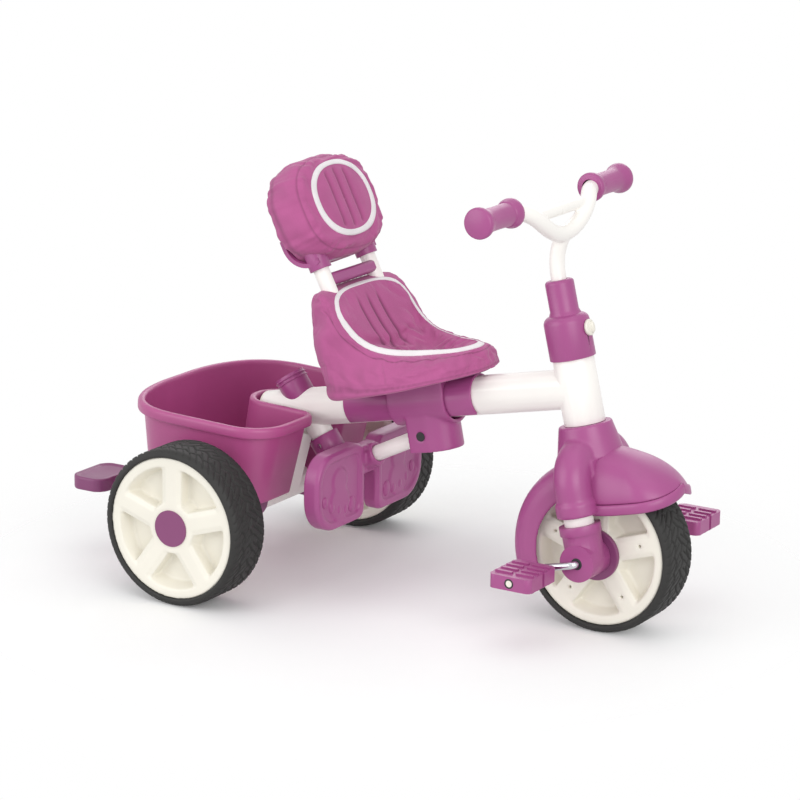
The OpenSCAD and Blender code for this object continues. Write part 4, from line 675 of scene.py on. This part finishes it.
def puff(points, faces, held):
    """Swells a fabric skin by cloth simulation, held along its seams; no point moves more than the cap."""
    mesh = bpy.data.meshes.new("swell")
    mesh.from_pydata(points.reshape(-1, 3).tolist(), [], faces.tolist())
    skin = bpy.data.objects.new("swell", mesh)
    scene.collection.objects.link(skin)
    group = skin.vertex_groups.new(name="held")
    flat = held.ravel()
    for weight in np.unique(np.round(flat, 1)):
        group.add(np.nonzero(np.round(flat, 1) == weight)[0].tolist(), float(weight), "REPLACE")
    cloth = skin.modifiers.new("cloth", "CLOTH")
    cloth.settings.quality = 5
    cloth.settings.mass = 0.2
    cloth.settings.tension_stiffness = cloth.settings.compression_stiffness = 12
    cloth.settings.shear_stiffness = 4
    cloth.settings.bending_stiffness = 0.3
    cloth.settings.use_pressure = True
    cloth.settings.uniform_pressure_force = swell_pressure
    cloth.settings.shrink_min = -swell_spare
    cloth.settings.vertex_group_mass = "held"
    cloth.settings.pin_stiffness = 2.0
    cloth.settings.effector_weights.gravity = 0
    cloth.collision_settings.use_collision = False
    cloth.point_cache.frame_start, cloth.point_cache.frame_end = 1, swell_frames
    for step in range(1, swell_frames + 1):
        scene.frame_set(step)
    solved = skin.evaluated_get(bpy.context.evaluated_depsgraph_get()).to_mesh()
    moved = np.empty(len(solved.vertices) * 3)
    solved.vertices.foreach_get("co", moved)
    skin.to_mesh_clear()
    scene.frame_set(1)
    bpy.data.objects.remove(skin)
    shift = moved.reshape(points.shape) - points
    far = np.linalg.norm(shift, axis=-1, keepdims=True)
    limit = swell_cap * MM
    return points + shift * np.minimum(1, limit * np.tanh(far / limit) / np.maximum(far, 1e-9))


def grid_normals(points):
    """Unit normals of a grid that closes round its rows, from the steps along and across."""
    across = np.roll(points, -1, 1) - np.roll(points, 1, 1)
    along = np.gradient(points, axis=0)
    normal = np.cross(along, across)
    return normal / np.maximum(np.linalg.norm(normal, axis=-1, keepdims=True), 1e-12)


def fabric_piece(name, points, seam_and_crease_shade, finish, body, *stands_for):
    """A sewn skin from a grid of points; its last row is drawn to one point, and one level rounds it."""
    pole = np.broadcast_to(points[-1:].mean(1, keepdims=True), points[-1:].shape)
    points = np.concatenate([points, pole])
    seam_and_crease_shade = np.concatenate([seam_and_crease_shade, np.zeros((1, points.shape[1]))])
    faces = grid_faces(*points.shape[:2])[:, ::-1]
    piece = new_piece(name, points, faces, finish, body, "magenta_fabric", *stands_for)
    cloth_uv(piece, points)
    # Keeps on the points the weights of the painted shade in seam grooves and crease troughs.
    sewn = piece.data.attributes.new("seam_and_crease_shade", "FLOAT", "POINT")
    sewn.data.foreach_set("value", np.clip(seam_and_crease_shade, 0, 1).ravel())
    sealed(piece)
    rounding = piece.modifiers.new("rounding", "SUBSURF")
    rounding.levels = rounding.render_levels = 1
    return piece


def tape_band(name, points, rows, body):
    """A sewn tape: the cloth's own rows, lifted by the tape's thickness, with its edges turned down."""
    normal = grid_normals(points)
    strip = points[rows] + normal[rows] * tape_thick * MM
    low = points[rows] - normal[rows] * 0.6 * MM
    band = np.concatenate([low[:1], strip, low[-1:]])
    piece = new_piece(name, band, grid_faces(*band.shape[:2]), tape_white, body, "magenta_fabric")
    cloth_uv(piece, band)


rise = math.radians(11.8)
seat_origin = np.array([52.93, 0.0, 274.08])
along_tube = np.array([math.cos(rise), 0.0, math.sin(rise)])
off_tube = np.array([-math.sin(rise), 0.0, math.cos(rise)])
seat_rear, seat_nose, seat_half, seat_corner = 109.0, 107.0, 105.0, 36.0
seat_low, seat_mid, seat_top, pan_up, hem_base = 68.0, 134.0, 167.0, 54.0, 32.5


def seat_rows(s, y, t):
    """Points from distances along the tube, across, and off the tube's axis, in mm."""
    s, y, t = np.broadcast_arrays(s, y, t)
    return (seat_origin + s[..., None] * along_tube + y[..., None] * [0, 1, 0] + t[..., None] * off_tube) * MM


def seat_outline(d):
    """The seat's plan, drawn in by d: straight rear, round corners, straight sides, round nose."""
    c = max(seat_corner - d, 1.0)
    rear, side = d - seat_rear, seat_half - d
    corner = np.radians(np.linspace(180, 90, 19))
    nose = np.radians(np.linspace(0, 90, 44))
    half = np.concatenate(
        [
            np.stack([np.full(20, rear), (side - c) * np.arange(20) / 20], -1),
            np.stack([rear + c + c * np.cos(corner), side - c + c * np.sin(corner)], -1),
            np.stack([(rear + c) * (1 - np.arange(1, 14) / 14), np.full(13, side)], -1),
            np.stack([(seat_nose - d) * np.sin(nose) ** (2 / 1.9), side * np.cos(nose) ** (2 / 1.9)], -1),
        ]
    )
    return np.concatenate([half, half[-2:0:-1] * [1, -1]])


def seat_hem(p):
    """Height of the hem: lower along the sides, lifted at the nose, in mm."""
    rearward = smooth_step(seat_nose - p[:, 0], 0, seat_nose + seat_rear)
    under = 10 * smooth_step(np.abs(p[:, 1]), 40, 61) * rearward
    return hem_base + 2 * smooth_step(p[:, 0], 0, seat_nose) - under


hem_line = seat_outline(0.5)
hem_t = seat_hem(hem_line)
wide_s, tape_wide = -60.0, 88.0
fore = hem_line[:, 0] > wide_s
tape_long = np.where(fore, 152.0, 22.0)
bearing = np.arctan2(hem_line[:, 1] / tape_wide, (hem_line[:, 0] - wide_s) / tape_long)
power = np.where(fore, 1.42 + 0.45 * smooth_step(np.cos(bearing), 0.8, 1.0), 1.9)
reach = (np.abs(np.cos(bearing)) ** power + np.abs(np.sin(bearing)) ** power) ** (-1 / power)
ahead = np.cos(bearing) * reach
tape_line = np.stack([wide_s + tape_long * ahead, tape_wide * np.sin(bearing) * reach], -1)
low_t = seat_low + (seat_mid - seat_low) * (
    0.75 * np.exp(-np.clip(ahead, 0, 1) / 0.15) + 0.25 * (1 - np.clip(ahead, 0, 1)) ** 1.6
)
high_t = seat_mid + (seat_top - seat_mid) * (1 - (1 - np.clip(-ahead, 0, 1)) ** 1.7)
tape_t = np.where(fore, low_t, high_t)
inward = tape_line - hem_line
inward /= np.linalg.norm(inward, axis=1, keepdims=True)
tape_half = 3.9
tape_slope = 0.3 - 1.2 * smooth_step(ahead, -0.7, 0.0) + 0.4 * smooth_step(ahead, 0.5, 1.0)
tape_high = tape_t + tape_slope * tape_half
rows, seams, creases = [], [], []
plain = np.zeros(len(hem_line))
hem_steps = np.linalg.norm(np.roll(hem_line, -1, 0) - hem_line, axis=1)
hem_arc = np.cumsum(hem_steps)
pucker = np.sin(hem_arc / 3.1) + np.sin(hem_arc / 4.7 + 2) + np.sin(hem_arc / 7.9 + 1)
rearward = smooth_step(-hem_line[:, 0], 60, 95)
for d, t in ((14.6, 38.6), (12.0, 0.0), (8.0, -1.0), (4.5, -0.5)):
    wall = seat_outline(d)
    rows.append(seat_rows(wall[:, 0], wall[:, 1], np.full(len(wall), t) if t > 1 else seat_hem(wall) + t))
    seams.append(plain)
    creases.append(plain)
shoulder_power = 2.0 + 3.6 * smooth_step(-hem_line[:, 0], 30, 100)
climb = np.sin(np.linspace(0.02, 1, 40) * np.pi / 2)
for v in climb:
    over = 1 - (1 - v**shoulder_power) ** (1 / shoulder_power)
    p = hem_line + (tape_line - inward * tape_half - hem_line) * over[:, None]
    stitched = np.exp(-(((v - 0.13) / 0.022) ** 2)) + np.exp(-(((v - 0.87) / 0.014) ** 2)) * (1 - rearward)
    p = p - inward * (1.0 + 3 * rearward * np.sin(np.pi * v**1.5) - 1.2 * stitched)[:, None]
    shelf = 9 * rearward * smooth_step(np.array(v), 0.72, 0.96) * (1 - over)
    rows.append(seat_rows(p[:, 0], p[:, 1], hem_t + (tape_high - hem_t) * v + shelf))
    # Painted shade along the grooves of the two stitched seams, a little uneven along them.
    seams.append(stitched * (0.75 + 0.25 * np.sin(hem_arc / 1.3)))
    fold = np.sin(hem_arc / 17 + 5 * v) * np.sin(hem_arc / 41 + 9 * v) * np.sin(np.pi * v)
    gather = np.exp(-(((v - 0.05) / 0.07) ** 2)) + np.exp(-(((v - 0.9) / 0.05) ** 2))
    creases.append(0.45 * pucker * gather + 1.6 * fold)
tape_from = len(rows)
for k in np.linspace(-1, 1, 6)[1:]:
    p = tape_line + inward * tape_half * k
    rows.append(seat_rows(p[:, 0], p[:, 1], tape_t - tape_slope * tape_half * k))
    seams.append(plain)
    creases.append(plain)
tape_to = len(rows)
inner = tape_line + inward * tape_half
pole = np.array([15.0, 0.0])
back_channels = (-27, -3, 21)
inner_t = tape_t - tape_slope * tape_half
for share in np.linspace(0, 0.97, 60)[1:]:
    p = inner + (pole - inner) * share
    t = pan_up + (inner_t - pan_up) * (1 - share) ** 2.6
    back = smooth_step(t, 62, 84) * smooth_step(np.array(share), 0.03, 0.1) * (p[:, 0] < -20)
    channel = sum(np.exp(-(((p[:, 1] - y) / 2.6) ** 2)) for y in back_channels)
    ripple = np.sin(p[:, 0] / 5.6 + 1.9 * np.sin(p[:, 1] / 15) + 0.8 * np.sin(p[:, 1] / 5.3 + 1))
    patch = 0.5 + 0.5 * np.sin(p[:, 0] / 13 + 2) * np.sin(p[:, 1] / 11 + 0.6)
    pan = smooth_step(-t, -112, -76) * smooth_step(np.array(share), 0.04, 0.2)
    pan = pan * smooth_step(-p[:, 0], -75, -40)
    rows.append(seat_rows(p[:, 0], p[:, 1], t - 3.0 * back * channel))
    # Painted shade in the sewn channels of the back and in the troughs of the pan's ripples.
    seams.append(0.9 * back * channel + 0.5 * np.clip(-ripple - 0.3, 0, 1) * patch * pan)
    creases.append((1.0 - np.abs(ripple)) * 4.6 * patch * pan - 1.6 * back * channel)
cover = np.array(rows)
held = np.zeros(cover.shape[:2])
held[:6] = 1.0
held[8:10] = 0.7
held[tape_from - 9 : tape_from] = np.linspace(0.3, 1, 9)[:, None]
held[tape_from - 1 : tape_to] = 1.0
held[-2:] = 0.6
faces = grid_faces(*cover.shape[:2])[:, ::-1]
cover = puff(cover, faces, held)
cover = cover + grid_normals(cover) * (np.array(creases) * MM)[..., None]
tape_band("seat_tape", cover, slice(tape_from - 1, tape_to), "seat")
seat_fabric = fabric_piece("seat_fabric", cover, np.array(seams), nylon, "seat", "seat_cover")

# Headrest pad: a boxed cushion of the same nylon over foam, pulled over the moulded shell on its two posts,
# with an oval of white tape and three sewn channels on its front.
post_lean = rise + math.radians(15.2)
post_up = np.array([-math.sin(post_lean), 0.0, math.cos(post_lean)])
post_front = np.array([math.cos(post_lean), 0.0, math.sin(post_lean)])
post_foot = seat_origin - 91.0 * along_tube + 170.0 * off_tube
pad_low, pad_h, pad_w, pad_front, pad_rear = 37.0, 144.0, 190.0, 43.0, 31.0
pad_n, pad_channels, front_shares = 160, (-22, 0, 22), np.linspace(0, 0.97, 26)
pad_angle = np.linspace(0, 2 * np.pi, pad_n, endpoint=False)


def rounded(angle, power):
    """A rounded square: cosine and sine with a signed power."""
    c, d = np.cos(angle), np.sin(angle)
    return np.stack([np.sign(c) * np.abs(c) ** (2 / power), np.sign(d) * np.abs(d) ** (2 / power)], -1)


edge_line = rounded(pad_angle, 2.7) * [-pad_w / 2, pad_h / 2]
tape_line = rounded(pad_angle, 2.2) * [-65.0, 51.0] + [0, 4.0]
pad_rows = []
back_in = (
    (1.0, -1.0), (0.7, -1.0), (0.45, -1.0), (0.3, -0.99), (0.2, -0.96),
    (0.12, -0.9), (0.06, -0.78), (0.025, -0.6), (0.006, -0.4), (0, -0.2),
)
for inset, fwd in back_in:
    pad_rows.append(np.column_stack([edge_line * (1 - inset), np.full(pad_n, fwd * pad_rear)]))
side_in = (
    (0, 0.0), (0, 0.15), (0, 0.3), (0.006, 0.42), (0.02, 0.55),
    (0.045, 0.66), (0.068, 0.71), (0.075, 0.73), (0.088, 0.78), (0.12, 0.85),
)
front_seam = len(pad_rows) + 6
for inset, fwd in side_in:
    pad_rows.append(np.column_stack([edge_line * (1 - inset), np.full(pad_n, fwd * pad_front)]))
start = edge_line * 0.88
for share in np.linspace(0, 1, 9)[1:]:
    p = start + (tape_line - start) * share
    pad_rows.append(np.column_stack([p, np.full(pad_n, (0.85 + 0.09 * share) * pad_front)]))
tape_at = len(pad_rows)
for share in front_shares:
    p = tape_line * (1 - share)
    lines = sum(np.exp(-(((p[:, 0] - y) / 3.4) ** 2)) for y in pad_channels)
    lines = lines * smooth_step(np.array(share), 0.12, 0.25)
    crown = 0.94 + 0.06 * smooth_step(np.array(share), 0.0, 0.4)
    pad_rows.append(np.column_stack([p, crown * pad_front - 3.2 * lines]))
# Painted shade along the seams round the back and the front, and in the front's channels; the same weights
# also sink those seams a little.
pad_seams = np.zeros((len(pad_rows), pad_n))
pad_seams[8] = pad_seams[front_seam] = 0.5
for k, share in enumerate(front_shares):
    across = tape_line[:, 0] * (1 - share)
    channel = sum(np.exp(-(((across - y) / 2.4) ** 2)) for y in pad_channels)
    pad_seams[tape_at + k] = 0.6 * channel * smooth_step(np.array(share), 0.12, 0.25)
pad = np.array(pad_rows)
pad_y, pad_up, pad_out = pad[..., :1], pad[..., 1:2] + pad_low + pad_h / 2, pad[..., 2:]
pad = (post_foot + pad_y * [0, 1, 0] + pad_up * post_up + pad_out * post_front) * MM
held = np.zeros(pad.shape[:2])
held[:5] = 1.0
held[8] = held[front_seam : front_seam + 2] = 0.9
held[tape_at - 3 : tape_at + 3] = 1.0
held[-2:] = 0.6
pad = puff(pad, grid_faces(*pad.shape[:2])[:, ::-1], held)
away = np.abs(np.arange(len(pad))[:, None] - np.array([[8.0, front_seam + 0.5]]))
gather = np.exp(-away / 2.2).max(1)[:, None] * (1 - np.exp(-((away / 0.8) ** 2)).max(1))[:, None]
gather[tape_at - 4 :] = 0
pucker = sum(np.sin(pad_angle * n + 2.1 * n * n) for n in (17, 23, 31, 43)) / 2
row_of = np.arange(len(pad))[:, None]
fold = np.sin(pad_angle * 7 + 0.5 * row_of) * np.sin(pad_angle * 3 + 0.31 * row_of + 1)
fold = fold * (row_of < tape_at - 3) * (row_of > 4)
wrinkle = pucker[None, :] * gather * 2.2 + 2.2 * fold - 1.4 * pad_seams
pad = pad + grid_normals(pad) * (wrinkle * MM)[..., None]
tape_band("headrest_tape", pad, slice(tape_at - 3, tape_at + 3), "headrest")
pad_fabric = fabric_piece("headrest_fabric", pad, pad_seams, nylon, "headrest", "headrest_pad")
